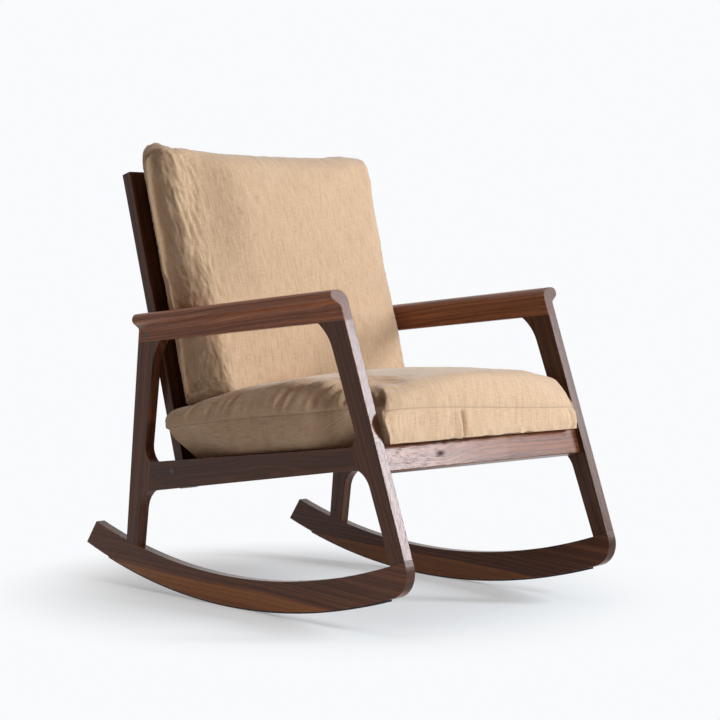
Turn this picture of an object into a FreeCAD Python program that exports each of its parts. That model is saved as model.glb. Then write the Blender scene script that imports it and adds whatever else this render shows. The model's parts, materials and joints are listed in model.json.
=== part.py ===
"""Wooden rocking chair with two side frames, a slatted seat and back, and two loose cushions.

Millimetres.  +X is the right side seen from the front, -Y is the front, +Z is up.
Every outline of a side frame is drawn in the (y, z) plane, with y = 0 above the point where
the runners touch the floor.  At the end the whole chair is moved along Y, so that the origin
lies on the floor under the middle of its bounding box.
"""
import FreeCAD
import Part
import math
import os
from FreeCAD import Vector

# ---------------------------------------------------------------- driving dimensions
FRAME_WIDTH = 650.0            # over the outer faces of the two side frames
STOCK = 25.0                   # thickness of the side frames
EDGE_EASING = 1.5              # small radius on the long edges of the side frames

ROCKER_RADIUS = 1475.0         # the arc that rolls on the floor
STRIP_THICKNESS = 3.0          # rubber strip glued under each runner
STRIP_INSET = 2.5              # the strip is this much narrower on each side
STRIP_FRONT_REACH = 447.0      # from the contact point to the front end of the strip
STRIP_REAR_REACH = 405.0
RUNNER_DEPTH = 61.5            # at the contact point
RUNNER_TOP_RADIUS = 1445.0
RUNNER_TOP_SETBACK = 6.0       # the upper arc's centre lies this far behind the contact point
RUNNER_NOSE_RADIUS = 50.0      # the round front corner of the runner
RUNNER_TAIL_REACH = 480.0      # from the contact point to the rear bottom corner
RUNNER_TAIL_CUT = 33.9         # degrees between the rear end cut and the vertical

FRONT_LEG_REACH = 556.0        # where the front edge of the front leg would meet the floor
FRONT_LEG_LEAN = 20.5          # degrees back from the vertical
FRONT_LEG_FOOT_WIDTH = 37.0    # along the floor, between the two edges carried down to it
FRONT_LEG_TAPER = 1.65         # degrees between its front and rear edges
REAR_LEG_REACH = 348.0         # where the rear edge of the rear leg would meet the floor
REAR_LEG_LEAN = -4.5
REAR_LEG_FOOT_WIDTH = 35.0
REAR_LEG_TAPER = 2.0

SEAT_HEIGHT = 316.0            # top of the side rails above the contact point
SEAT_SLOPE = 7.5               # degrees, falling to the rear
SIDE_RAIL_DEPTH = 55.5         # above the contact point
SIDE_RAIL_TAPER = 1.65         # degrees, deeper to the rear
FRONT_RAIL_DEPTH = 52.5
FRONT_RAIL_THICKNESS = 25.0
FRONT_RAIL_SETBACK = 13.0      # behind the front edges of the legs
REAR_RAIL_DEPTH = 44.0
REAR_RAIL_THICKNESS = 22.0

ARM_HEIGHT = 573.3             # underside of the arms above the contact point
ARM_SLOPE = 6.6                # degrees, falling to the rear
ARM_DEPTH = 61.3
ARM_BEAD_RADIUS = 11.5         # round bead along the outer edge of the top
ARM_BEAD_OVERHANG = 21.0       # the bead's reach beyond the outer face
ARM_BEAD_UNDERCUT = 35.0       # degrees of the bead's flat underside to the horizontal
ARM_COVE_RADIUS = 8.0
ARM_SHOULDER_RADIUS = 24.0     # roundover of the inner top edge

SHOULDER_WIDTH = 21.5          # the legs swell by this much where an arm or a rail joins them
ARM_FLARE_RADIUS = 105.0
RAIL_UNDER_FLARE_RADIUS = 55.0
RAIL_TOP_FRONT_RADIUS = 24.0
RAIL_TOP_REAR_RADIUS = 40.0

BACK_TO_REAR_LEG = 227.0       # along the floor, between the rear edges of stiles and rear legs
BACK_LEAN = 16.9               # degrees back from the vertical
BACK_STILE_DEPTH = 26.0
BACK_STILE_WIDTH = 46.0
BACK_TOP_HEIGHT = 909.0        # front top corner of the stiles
BACK_BELOW_SEAT = 58.5         # how far the stiles run down past the top of the side rails
BACK_TOP_RAIL_WIDTH = 64.0
BACK_BOTTOM_RAIL_WIDTH = 50.0
BACK_RAIL_THICKNESS = 20.0
BACK_SLAT_COUNT = 4
BACK_SLAT_WIDTH = 48.0
BACK_SLAT_THICKNESS = 12.0
BACK_TENON_LENGTH = 18.0
BACK_TENON_SHOULDER = 4.0      # how much narrower a tenon is than its rail or slat, each side
BACK_TENON_SHARE = 0.6         # a tenon's thickness by its rail's or slat's

CLEAT_WIDTH = 22.0
CLEAT_DEPTH = 20.0
SLAT_COUNT = 7
SLAT_WIDTH = 56.0
SLAT_THICKNESS = 12.0
SLAT_RECESS = 1.5              # top of the slats below the top of the side rails

DOWEL_DIAMETER = 10.0
DOWEL_LENGTH = 44.0
THIN_DOWEL_DIAMETER = 8.0
ARM_DOWEL_SPACING = 26.0       # between the two dowels of a joint under an arm or behind a rail
RAIL_DOWEL_SPACING = 20.0
FOOT_DOWEL_SPACING = 16.0
STILE_TO_RAIL = 2.0            # from the rear rail to the back stiles
RAIL_DOWEL_DEPTH = 14.0        # how deep a rail's dowels go into the side frame
PLUG_DIAMETER = 12.0
PLUG_DEPTH = 6.0
ARM_PLUG_HEIGHT = 14.5         # above the underside of the arm
RAIL_PLUG_DEPTH = 22.5         # below the top of the side rail
BACK_SCREW_HEAD_DIAMETER = 10.0
BACK_SCREW_HEAD_HEIGHT = 3.5
BACK_SCREW_DIAMETER = 6.0
BACK_SCREW_LENGTH = 44.0
SMALL_SCREW_HEAD_DIAMETER = 7.0
SMALL_SCREW_HEAD_HEIGHT = 2.5
SMALL_SCREW_DIAMETER = 3.5
CLEAT_SCREW_LENGTH = 36.0
SLAT_SCREW_LENGTH = 26.0

SEAT_CUSHION_THICKNESS = 142.0
SEAT_CUSHION_EDGE = 66.0       # height of the seam above its underside
SEAT_CUSHION_CROWN = 22.0      # how far its middle stands above its shoulders
SEAT_CUSHION_OVERHANG = 16.0   # the seam's reach in front of the front rail
BACK_CUSHION_HEIGHT = 580.0
BACK_CUSHION_THICKNESS = 176.0
BACK_CUSHION_CROWN = 30.0
BACK_CUSHION_LIFT = 100.0      # its lower seam above the side rails, measured up the back
CUSHION_CORNER_RADIUS = 40.0
CUSHION_TUCK = 0.45            # how far the side runs in under the seam, by the seam's height
CUSHION_SHOULDER = 0.6         # how far it runs in above the seam, by the height above the seam

# named clearances
JOINT_CLEARANCE = 0.05         # round a dowel, a tenon or a screw, on each side
CUSHION_SIDE_CLEARANCE = 3.0   # from a cushion to a side frame
CUSHION_CLEARANCE = 0.5        # from a cushion to what it rests on
CUSHION_REAR_CLEARANCE = 2.0   # from the seat cushion's rear seam to the back stiles
SLAT_END_CLEARANCE = 1.0       # from the end of a slat to the side rail
END_DEPTH_CLEARANCE = 1.0      # spare depth beyond the end of a dowel or a screw
OVERCUT = 1.0                  # how far a cutting block runs past the face that it cuts
TOUCHING = 0.01                # what is nearer than this lies on the same line or face

HALF = FRAME_WIDTH / 2
INNER = HALF - STOCK           # inner face of a side frame


# ---------------------------------------------------------------- plane geometry in (y, z)
class Line:
    """A straight line in the (y, z) plane, by a point on it and its direction."""

    def __init__(self, point, direction):
        length = math.hypot(*direction)
        self.point = point
        self.along = (direction[0] / length, direction[1] / length)
        self.normal = (self.along[1], -self.along[0])

    def at(self, distance, offset=0.0):
        return (self.point[0] + distance * self.along[0] + offset * self.normal[0],
                self.point[1] + distance * self.along[1] + offset * self.normal[1])

    def shifted(self, offset):
        return Line(self.at(0, offset), self.along)

    def meet(self, other):
        cross = self.along[0] * other.along[1] - self.along[1] * other.along[0]
        gap = (other.point[0] - self.point[0], other.point[1] - self.point[1])
        return self.at((gap[0] * other.along[1] - gap[1] * other.along[0]) / cross)

    def place(self, point):
        """The distance of a point along the line, and its offset from it."""
        gap = (point[0] - self.point[0], point[1] - self.point[1])
        return (gap[0] * self.along[0] + gap[1] * self.along[1],
                gap[0] * self.normal[0] + gap[1] * self.normal[1])


def leaning(foot, lean):
    """A line that rises from the floor at y = foot and leans back by so many degrees."""
    angle = math.radians(lean)
    return Line((foot, 0.0), (math.sin(angle), math.cos(angle)))


def falling(height, slope):
    """A line that runs to the rear, falling by so many degrees; height is at y = 0."""
    angle = math.radians(slope)
    return Line((0.0, height), (math.cos(angle), -math.sin(angle)))


def meet_circle(line, centre, radius, upper=False):
    """Where a line meets a circle: the lower crossing, or the upper one."""
    along, offset = line.place(centre)
    reach = math.sqrt(radius ** 2 - offset ** 2)
    low, high = sorted((line.at(along - reach), line.at(along + reach)), key=lambda p: p[1])
    return high if upper else low


def vec(point, x=0.0):
    return Vector(x, point[0], point[1])


def segment(start, end):
    return Part.LineSegment(vec(start), vec(end)).toShape()


def arc(start, middle, end):
    return Part.Arc(vec(start), vec(middle), vec(end)).toShape()


def arc_about(centre, radius, start, end):
    """The short arc of a known circle between two of its points."""
    middle = ((start[0] + end[0]) / 2 - centre[0], (start[1] + end[1]) / 2 - centre[1])
    scale = radius / math.hypot(*middle)
    return arc(start, (centre[0] + middle[0] * scale, centre[1] + middle[1] * scale), end)


def plate(edges, x_start, x_end):
    """The closed outline in the (y, z) plane, extruded from x_start to x_end."""
    face = Part.Face(Part.Wire(Part.__sortEdges__(edges)))
    face.translate(Vector(x_start, 0, 0))
    return face.extrude(Vector(x_end - x_start, 0, 0))


def polygon_plate(points, x_start, x_end):
    return plate([segment(a, b) for a, b in zip(points, points[1:] + points[:1])], x_start, x_end)


def rod(start, direction, diameter, length):
    return Part.makeCylinder(diameter / 2, length, start, direction)


def one_solid(shape):
    solids = shape.removeSplitter().Solids
    if len(solids) != 1:
        raise ValueError("expected one solid, got %d" % len(solids))
    return solids[0]


def ease_long_edges(shape, length):
    return shape.makeFillet(EDGE_EASING, [e for e in shape.Edges if abs(e.Length - length) < TOUCHING])


# ---------------------------------------------------------------- the lines of a side frame
FAR = 2000.0                                   # longer than anything in the chair

FRONT_LEG_FRONT = leaning(-FRONT_LEG_REACH, FRONT_LEG_LEAN)
FRONT_LEG_REAR = leaning(-FRONT_LEG_REACH + FRONT_LEG_FOOT_WIDTH, FRONT_LEG_LEAN + FRONT_LEG_TAPER)
REAR_LEG_REAR = leaning(REAR_LEG_REACH, REAR_LEG_LEAN)
REAR_LEG_FRONT = leaning(REAR_LEG_REACH - REAR_LEG_FOOT_WIDTH, REAR_LEG_LEAN - REAR_LEG_TAPER)
RAIL_TOP = falling(SEAT_HEIGHT, SEAT_SLOPE)
RAIL_BOTTOM = falling(SEAT_HEIGHT - SIDE_RAIL_DEPTH, SEAT_SLOPE + SIDE_RAIL_TAPER)
ARM_UNDER = falling(ARM_HEIGHT, ARM_SLOPE)
ARM_TOP = ARM_UNDER.shifted(-ARM_DEPTH)
BACK_REAR = leaning(REAR_LEG_REACH - BACK_TO_REAR_LEG, BACK_LEAN)
BACK_FRONT = BACK_REAR.shifted(-BACK_STILE_DEPTH)
FRONT_SHOULDER = FRONT_LEG_REAR.shifted(SHOULDER_WIDTH)
REAR_SHOULDER = REAR_LEG_FRONT.shifted(-SHOULDER_WIDTH)

ROCKER_CENTRE = (0.0, ROCKER_RADIUS)
RUNNER_RADIUS = ROCKER_RADIUS - STRIP_THICKNESS
TOP_RISE = math.sqrt(RUNNER_TOP_RADIUS ** 2 - RUNNER_TOP_SETBACK ** 2)
RUNNER_TOP_CENTRE = (RUNNER_TOP_SETBACK, STRIP_THICKNESS + RUNNER_DEPTH + TOP_RISE)


def on_rocker(y, radius=RUNNER_RADIUS):
    return (y, ROCKER_RADIUS - math.sqrt(radius ** 2 - y ** 2))


def on_runner_top(line):
    return meet_circle(line, RUNNER_TOP_CENTRE, RUNNER_TOP_RADIUS)


def flare(edge_line, end_line, radius, side, upward):
    """A leg's swelling: an arc that leaves the leg's edge and ends on end_line.

    side is +1 where the swelling grows to the rear and -1 where it grows to the front.
    Returns the tangent point on the edge, the arc's middle and its end.
    """
    end = edge_line.shifted(side * SHOULDER_WIDTH).meet(end_line)
    run = math.sqrt(2 * radius * SHOULDER_WIDTH - SHOULDER_WIDTH ** 2)
    distance = edge_line.place(end)[0]
    tangent_distance = distance - run if upward else distance + run
    half_turn = math.asin(run / radius) / 2
    step = radius * math.sin(half_turn)
    rise = radius * (1 - math.cos(half_turn))
    middle_distance = tangent_distance + (step if upward else -step)
    return edge_line.at(tangent_distance), edge_line.at(middle_distance, side * rise), end


# front and rear swellings of the legs, from the arm down
FRONT_ARM_FLARE = flare(FRONT_LEG_REAR, ARM_UNDER, ARM_FLARE_RADIUS, 1, True)
REAR_ARM_FLARE = flare(REAR_LEG_FRONT, ARM_UNDER, ARM_FLARE_RADIUS, -1, True)
FRONT_TOP_FLARE = flare(FRONT_LEG_REAR, RAIL_TOP, RAIL_TOP_FRONT_RADIUS, 1, False)
REAR_TOP_FLARE = flare(REAR_LEG_FRONT, RAIL_TOP, RAIL_TOP_REAR_RADIUS, -1, False)
FRONT_UNDER_FLARE = flare(FRONT_LEG_REAR, RAIL_BOTTOM, RAIL_UNDER_FLARE_RADIUS, 1, True)
REAR_UNDER_FLARE = flare(REAR_LEG_FRONT, RAIL_BOTTOM, RAIL_UNDER_FLARE_RADIUS, -1, True)

# corners of the runner
FRONT_INNER_FOOT = on_runner_top(FRONT_LEG_REAR)
REAR_INNER_FOOT = on_runner_top(REAR_LEG_FRONT)
REAR_OUTER_FOOT = on_runner_top(REAR_LEG_REAR)
TAIL_BOTTOM = on_rocker(RUNNER_TAIL_REACH)
TAIL_CUT = Line(TAIL_BOTTOM, (-math.sin(math.radians(RUNNER_TAIL_CUT)),
                              math.cos(math.radians(RUNNER_TAIL_CUT))))
TAIL_TOP = on_runner_top(TAIL_CUT)


def nose():
    """The round front corner: its ends on the leg's edge and on the rocker arc, and its middle."""
    inner_line = FRONT_LEG_FRONT.shifted(RUNNER_NOSE_RADIUS)
    centre = meet_circle(inner_line, ROCKER_CENTRE, RUNNER_RADIUS - RUNNER_NOSE_RADIUS)
    upper = FRONT_LEG_FRONT.at(FRONT_LEG_FRONT.place(centre)[0])
    scale = RUNNER_RADIUS / math.hypot(centre[0], centre[1] - ROCKER_RADIUS)
    lower = (centre[0] * scale, ROCKER_RADIUS + (centre[1] - ROCKER_RADIUS) * scale)
    return upper, centre, lower


def frame_outline():
    """The outer outline of a side frame, up to the top of the arm."""
    nose_top, nose_centre, nose_bottom = nose()
    arm_front = FRONT_LEG_FRONT.meet(ARM_TOP)
    arm_rear = REAR_LEG_REAR.meet(ARM_TOP)
    contact = on_rocker(0.0)
    return [
        segment(arm_front, nose_top),
        arc_about(nose_centre, RUNNER_NOSE_RADIUS, nose_top, nose_bottom),
        arc(nose_bottom, contact, TAIL_BOTTOM),
        segment(TAIL_BOTTOM, TAIL_TOP),
        arc_about(RUNNER_TOP_CENTRE, RUNNER_TOP_RADIUS, TAIL_TOP, REAR_OUTER_FOOT),
        segment(REAR_OUTER_FOOT, arm_rear),
        segment(arm_rear, arm_front),
    ]


def arm_opening():
    """The opening between the arm, the legs and the side rail."""
    return [
        segment(FRONT_ARM_FLARE[2], REAR_ARM_FLARE[2]),
        arc(REAR_ARM_FLARE[2], REAR_ARM_FLARE[1], REAR_ARM_FLARE[0]),
        segment(REAR_ARM_FLARE[0], REAR_TOP_FLARE[0]),
        arc(REAR_TOP_FLARE[0], REAR_TOP_FLARE[1], REAR_TOP_FLARE[2]),
        segment(REAR_TOP_FLARE[2], FRONT_TOP_FLARE[2]),
        arc(FRONT_TOP_FLARE[2], FRONT_TOP_FLARE[1], FRONT_TOP_FLARE[0]),
        segment(FRONT_TOP_FLARE[0], FRONT_ARM_FLARE[0]),
        arc(FRONT_ARM_FLARE[0], FRONT_ARM_FLARE[1], FRONT_ARM_FLARE[2]),
    ]


def leg_opening():
    """The opening between the side rail, the legs and the runner."""
    middle = (RUNNER_TOP_SETBACK, STRIP_THICKNESS + RUNNER_DEPTH + TOP_RISE - RUNNER_TOP_RADIUS)
    return [
        segment(FRONT_UNDER_FLARE[2], REAR_UNDER_FLARE[2]),
        arc(REAR_UNDER_FLARE[2], REAR_UNDER_FLARE[1], REAR_UNDER_FLARE[0]),
        segment(REAR_UNDER_FLARE[0], REAR_INNER_FOOT),
        arc(REAR_INNER_FOOT, middle, FRONT_INNER_FOOT),
        segment(FRONT_INNER_FOOT, FRONT_UNDER_FLARE[0]),
        arc(FRONT_UNDER_FLARE[0], FRONT_UNDER_FLARE[1], FRONT_UNDER_FLARE[2]),
    ]


def side_frame_blank():
    """The left side frame in one piece, with sharp edges; the pieces are cut from it."""
    blank = plate(frame_outline(), -HALF, -INNER)
    for outline in (arm_opening(), leg_opening()):
        blank = blank.cut(plate(outline, -HALF - OVERCUT, -INNER + OVERCUT))
    return one_solid(blank)


def ease_outline(piece, blank):
    """Eases a piece's long edges where they lie on the outline of the blank it was cut from."""
    outline = []
    for edge in blank.Edges:
        if edge.BoundBox.XLength < TOUCHING:
            outline.append(edge)
    eased = []
    for edge in piece.Edges:
        middle = Part.Vertex(edge.valueAt((edge.FirstParameter + edge.LastParameter) / 2))
        flat = edge.BoundBox.XLength < TOUCHING
        if flat and min(middle.distToShape(other)[0] for other in outline) < TOUCHING:
            eased.append(edge)
    return piece.makeFillet(EDGE_EASING, eased)


# ---------------------------------------------------------------- pieces of the left side frame
def arm_profile():
    """The arm's section above its plain part, as (x, height above the underside)."""
    bead_x = -HALF - ARM_BEAD_OVERHANG + ARM_BEAD_RADIUS
    bead_z = ARM_DEPTH - ARM_BEAD_RADIUS
    turn = math.radians(ARM_BEAD_UNDERCUT)
    # the flat underside leaves the bead at its tangent point and runs up to the cove
    leave = (bead_x - ARM_BEAD_RADIUS * math.sin(turn), bead_z - ARM_BEAD_RADIUS * math.cos(turn))
    cove_x = -HALF - ARM_COVE_RADIUS
    # the cove touches the underside line and the outer face
    offset = ARM_COVE_RADIUS
    line_x = leave[0] - offset * math.sin(turn)
    line_z = leave[1] - offset * math.cos(turn)
    cove_z = line_z - math.tan(turn) * (cove_x - line_x)
    touch = (cove_x + offset * math.sin(turn), cove_z + offset * math.cos(turn))
    cove_middle = (cove_x + offset * math.sin(turn / 2 + math.pi / 4),
                   cove_z + offset * math.cos(turn / 2 + math.pi / 4))
    bead_far = (bead_x - ARM_BEAD_RADIUS, bead_z)
    return bead_x, bead_z, leave, touch, cove_middle, (-HALF, cove_z), bead_far


def arm():
    """The left arm: a beaded bar along the arm's slope, cut off along the edges of the legs."""
    bead_x, bead_z, leave, touch, cove_middle, cove_end, bead_far = arm_profile()
    shoulder_x = -INNER - ARM_SHOULDER_RADIUS
    shoulder_z = ARM_DEPTH - ARM_SHOULDER_RADIUS
    diagonal = ARM_SHOULDER_RADIUS * math.sqrt(0.5)

    def point(pair):
        flat = ARM_UNDER.at(0, -pair[1])
        return Vector(pair[0], flat[0], flat[1])

    def line(a, b):
        return Part.LineSegment(point(a), point(b)).toShape()

    def bow(a, b, c):
        return Part.Arc(point(a), point(b), point(c)).toShape()

    bead_top = (bead_x, ARM_DEPTH)
    wire = Part.Wire([
        line((-INNER, 0), (-HALF, 0)),
        line((-HALF, 0), cove_end),
        bow(cove_end, cove_middle, touch),
        line(touch, leave),
        bow(leave, bead_far, bead_top),
        line(bead_top, (shoulder_x, ARM_DEPTH)),
        bow((shoulder_x, ARM_DEPTH), (shoulder_x + diagonal, shoulder_z + diagonal),
            (-INNER, shoulder_z)),
        line((-INNER, shoulder_z), (-INNER, 0)),
    ])
    along = Vector(0, ARM_UNDER.along[0], ARM_UNDER.along[1])
    bar = Part.Face(wire)
    bar.translate(along * -FAR)
    bar = bar.extrude(along * (2 * FAR))
    ends = polygon_plate([
        FRONT_LEG_FRONT.at(0), FRONT_LEG_FRONT.at(FAR), REAR_LEG_REAR.at(FAR), REAR_LEG_REAR.at(0),
    ], -FAR, FAR)
    return ease_arm_ends(one_solid(bar.common(ends)))


def ease_arm_ends(arm_bar):
    """Eases the edges round both end faces, but for the lowest ones, which lie on the legs."""
    eased = []
    for edge in arm_bar.Edges:
        middle = edge.valueAt((edge.FirstParameter + edge.LastParameter) / 2)
        spot = (middle.y, middle.z)
        at_front = abs(FRONT_LEG_FRONT.place(spot)[1]) < TOUCHING
        at_rear = abs(REAR_LEG_REAR.place(spot)[1]) < TOUCHING
        if (at_front or at_rear) and abs(ARM_UNDER.place(spot)[1]) > TOUCHING:
            eased.append(edge)
    return arm_bar.makeFillet(EDGE_EASING, eased)


def region(points):
    """A block through the whole thickness of the left side frame, for cutting pieces from it."""
    return polygon_plate(points, -HALF - OVERCUT, -INNER + OVERCUT)


def side_frame_pieces():
    """Cuts the blank along its joints into legs, side rail and runner, and adds the arm."""
    blank = side_frame_blank()
    above_arm_joint = region([ARM_UNDER.at(-FAR), ARM_UNDER.at(FAR),
                              ARM_UNDER.at(FAR, -FAR), ARM_UNDER.at(-FAR, -FAR)])
    below = blank.cut(above_arm_joint)

    margin = STOCK
    rail_zone = region([FRONT_SHOULDER.meet(RAIL_TOP.shifted(-margin)),
                        REAR_SHOULDER.meet(RAIL_TOP.shifted(-margin)),
                        REAR_SHOULDER.meet(RAIL_BOTTOM.shifted(margin)),
                        FRONT_SHOULDER.meet(RAIL_BOTTOM.shifted(margin))])
    side_rail = below.common(rail_zone)
    rest = below.cut(rail_zone)

    # the front leg's foot is cut square to its rear edge, at its inner corner
    foot_line = Line(FRONT_INNER_FOOT, FRONT_LEG_REAR.normal)
    front_zone = region([foot_line.at(-FAR), FRONT_INNER_FOOT, (0, SEAT_HEIGHT), (0, FAR), (-FAR, FAR)])
    front_leg = rest.common(front_zone)
    rest = rest.cut(front_zone)

    # the rear leg stands on the runner's upper arc
    over_runner = Part.makeCylinder(RUNNER_TOP_RADIUS, STOCK + 2 * OVERCUT,
                                    vec(RUNNER_TOP_CENTRE, -HALF - OVERCUT), Vector(1, 0, 0))
    rear_zone = over_runner.common(region([(0, 0), (FAR, 0), (FAR, FAR), (0, FAR)]))
    rear_leg = rest.common(rear_zone)
    runner = rest.cut(rear_zone)
    pieces = {"front_leg": front_leg, "rear_leg": rear_leg, "side_rail": side_rail,
              "runner": runner}
    pieces = {name: ease_outline(one_solid(piece), blank) for name, piece in pieces.items()}
    pieces["arm"] = arm()
    return pieces


def runner_strip():
    """The rubber strip under the runner."""
    outer = [on_rocker(y, ROCKER_RADIUS) for y in (-STRIP_FRONT_REACH, 0.0, STRIP_REAR_REACH)]
    shrink = RUNNER_RADIUS / ROCKER_RADIUS
    inner = [(y * shrink, ROCKER_RADIUS + (z - ROCKER_RADIUS) * shrink) for y, z in outer]
    edges = [arc(*outer), segment(outer[-1], inner[-1]), arc(*inner[::-1]), segment(inner[0], outer[0])]
    return plate(edges, -HALF + STRIP_INSET, -INNER - STRIP_INSET)


# ---------------------------------------------------------------- dowels and screws
def dowel_pair(middle, spread_along, direction, gap, diameter, length):
    """Two dowels across a joint of the side frame: rods in the plane of the frame."""
    x = -HALF + STOCK / 2
    rods = []
    holes = []
    for sign in (-1, 1):
        centre = (middle[0] + sign * spread_along[0] * gap / 2, middle[1] + sign * spread_along[1] * gap / 2)
        for found, extra, spare in ((rods, 0.0, 0.0), (holes, JOINT_CLEARANCE, END_DEPTH_CLEARANCE)):
            half = length / 2 + spare
            start = (centre[0] - direction[0] * half, centre[1] - direction[1] * half)
            found.append(rod(vec(start, x), Vector(0, direction[0], direction[1]),
                             diameter + 2 * extra, 2 * half))
    return rods, holes


def midpoint(a, b):
    return ((a[0] + b[0]) / 2, (a[1] + b[1]) / 2)


def side_frame_dowels():
    """Blind dowels in the six joints of a side frame, with the holes that they need."""
    front_head = midpoint(FRONT_LEG_FRONT.meet(ARM_UNDER), FRONT_LEG_REAR.meet(ARM_UNDER))
    rear_head = midpoint(REAR_LEG_REAR.meet(ARM_UNDER), REAR_LEG_FRONT.meet(ARM_UNDER))
    rail_front = midpoint(FRONT_SHOULDER.meet(RAIL_TOP), FRONT_SHOULDER.meet(RAIL_BOTTOM))
    rail_rear = midpoint(REAR_SHOULDER.meet(RAIL_TOP), REAR_SHOULDER.meet(RAIL_BOTTOM))
    foot_line = Line(FRONT_INNER_FOOT, FRONT_LEG_REAR.normal)
    front_foot = midpoint(FRONT_INNER_FOOT, foot_line.meet(FRONT_LEG_FRONT))
    rear_foot = midpoint(REAR_INNER_FOOT, REAR_OUTER_FOOT)
    joints = [
        (front_head, ARM_UNDER.along, FRONT_LEG_FRONT.along, ARM_DOWEL_SPACING, DOWEL_DIAMETER),
        (rear_head, ARM_UNDER.along, REAR_LEG_REAR.along, ARM_DOWEL_SPACING, DOWEL_DIAMETER),
        (rail_front, FRONT_SHOULDER.along, RAIL_TOP.along, RAIL_DOWEL_SPACING, DOWEL_DIAMETER),
        (rail_rear, REAR_SHOULDER.along, RAIL_TOP.along, ARM_DOWEL_SPACING, DOWEL_DIAMETER),
        (front_foot, foot_line.along, FRONT_LEG_REAR.along, FOOT_DOWEL_SPACING, THIN_DOWEL_DIAMETER),
        (rear_foot, REAR_LEG_REAR.normal, REAR_LEG_REAR.along, FOOT_DOWEL_SPACING, THIN_DOWEL_DIAMETER),
    ]
    rods = []
    holes = []
    for middle, spread, direction, gap, diameter in joints:
        found = dowel_pair(middle, spread, direction, gap, diameter, DOWEL_LENGTH)
        rods += found[0]
        holes += found[1]
    return rods, holes


def screw(start, direction, head_diameter, head_height, diameter, length, clearance=0.0, spare=0.0):
    """A flat-headed screw, or with clearance the hole for one."""
    head = rod(start, direction, head_diameter + 2 * clearance, head_height)
    shank = rod(start, direction, diameter + 2 * clearance, length + spare)
    return head.fuse(shank).removeSplitter()


def back_fixing_points():
    """Where the side frame is screwed to the back stile: in the arm and in the side rail."""
    middle_line = BACK_REAR.shifted(-BACK_STILE_DEPTH / 2)
    in_arm = middle_line.meet(ARM_UNDER.shifted(-ARM_PLUG_HEIGHT))
    in_rail = middle_line.meet(RAIL_TOP.shifted(RAIL_PLUG_DEPTH))
    return [in_arm, in_rail]


def back_screws():
    """Screws that hold the back to the left side frame, the plugs over them, and their holes."""
    inward = Vector(1, 0, 0)
    screws = []
    plugs = []
    holes = []
    for spot in back_fixing_points():
        plugs.append(rod(vec(spot, -HALF), inward, PLUG_DIAMETER, PLUG_DEPTH))
        head_place = vec(spot, -HALF + PLUG_DEPTH)
        sizes = (BACK_SCREW_HEAD_DIAMETER, BACK_SCREW_HEAD_HEIGHT, BACK_SCREW_DIAMETER, BACK_SCREW_LENGTH)
        screws.append(screw(head_place, inward, *sizes))
        holes.append(rod(vec(spot, -HALF - OVERCUT), inward, PLUG_DIAMETER, PLUG_DEPTH + OVERCUT))
        holes.append(screw(head_place, inward, *sizes, clearance=JOINT_CLEARANCE,
                           spare=END_DEPTH_CLEARANCE))
    return screws, plugs, holes


# ---------------------------------------------------------------- cross rails and seat
def front_rail():
    """Between the side frames, parallel to the front legs and set back from them."""
    face = FRONT_LEG_FRONT.shifted(FRONT_RAIL_SETBACK)
    back = face.shifted(FRONT_RAIL_THICKNESS)
    top_front = face.meet(RAIL_TOP)
    foot = face.place(top_front)[0] - FRONT_RAIL_DEPTH
    rail = polygon_plate([top_front, face.at(foot), face.at(foot, FRONT_RAIL_THICKNESS),
                          back.meet(RAIL_TOP)], -INNER, INNER)
    return ease_long_edges(rail, 2 * INNER)


def rear_rail_corners():
    """The rear rail stands in front of the back stiles, its top level with the slats' underside."""
    rear = BACK_FRONT.shifted(-STILE_TO_RAIL)
    front = rear.shifted(-REAR_RAIL_THICKNESS)
    top = RAIL_TOP.shifted(SLAT_RECESS + SLAT_THICKNESS)
    foot = rear.place(rear.meet(top))[0] - REAR_RAIL_DEPTH
    return [front.meet(top), rear.meet(top), rear.at(foot), front.at(foot)]


def rear_rail():
    return ease_long_edges(polygon_plate(rear_rail_corners(), -INNER, INNER), 2 * INNER)


def rail_dowels():
    """Two blind dowels at each end of the front rail and of the rear rail."""
    face = FRONT_LEG_FRONT.shifted(FRONT_RAIL_SETBACK + FRONT_RAIL_THICKNESS / 2)
    middle = face.place(face.meet(RAIL_TOP))[0] - FRONT_RAIL_DEPTH / 2
    corners = rear_rail_corners()
    rear_middle = midpoint(corners[0], corners[2])
    spread = RAIL_DOWEL_SPACING / 2
    spots = [face.at(middle - spread), face.at(middle + spread)]
    for sign in (-1, 1):
        spots.append((rear_middle[0] + sign * spread * BACK_REAR.along[0],
                      rear_middle[1] + sign * spread * BACK_REAR.along[1]))
    rods = []
    holes = []
    start = -INNER - RAIL_DOWEL_DEPTH
    for spot in spots:
        for found, extra, spare in ((rods, 0.0, 0.0), (holes, JOINT_CLEARANCE, END_DEPTH_CLEARANCE)):
            found.append(rod(vec(spot, start - spare), Vector(1, 0, 0),
                             DOWEL_DIAMETER + 2 * extra, DOWEL_LENGTH + 2 * spare))
    return rods, holes


def seat_span():
    """Distances along the side rail's top line from the front rail to the back stiles."""
    front = RAIL_TOP.place(FRONT_LEG_FRONT.shifted(FRONT_RAIL_SETBACK + FRONT_RAIL_THICKNESS)
                           .meet(RAIL_TOP))[0]
    rear = RAIL_TOP.place(BACK_FRONT.meet(RAIL_TOP.shifted(SLAT_RECESS + SLAT_THICKNESS)))[0]
    return front, rear


def slat_starts():
    """Evenly spaced slats, with the first and last a gap away from the rails."""
    front, rear = seat_span()
    gap = (rear - front - SLAT_COUNT * SLAT_WIDTH) / (SLAT_COUNT + 1)
    return [front + gap + i * (SLAT_WIDTH + gap) for i in range(SLAT_COUNT)]


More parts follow.
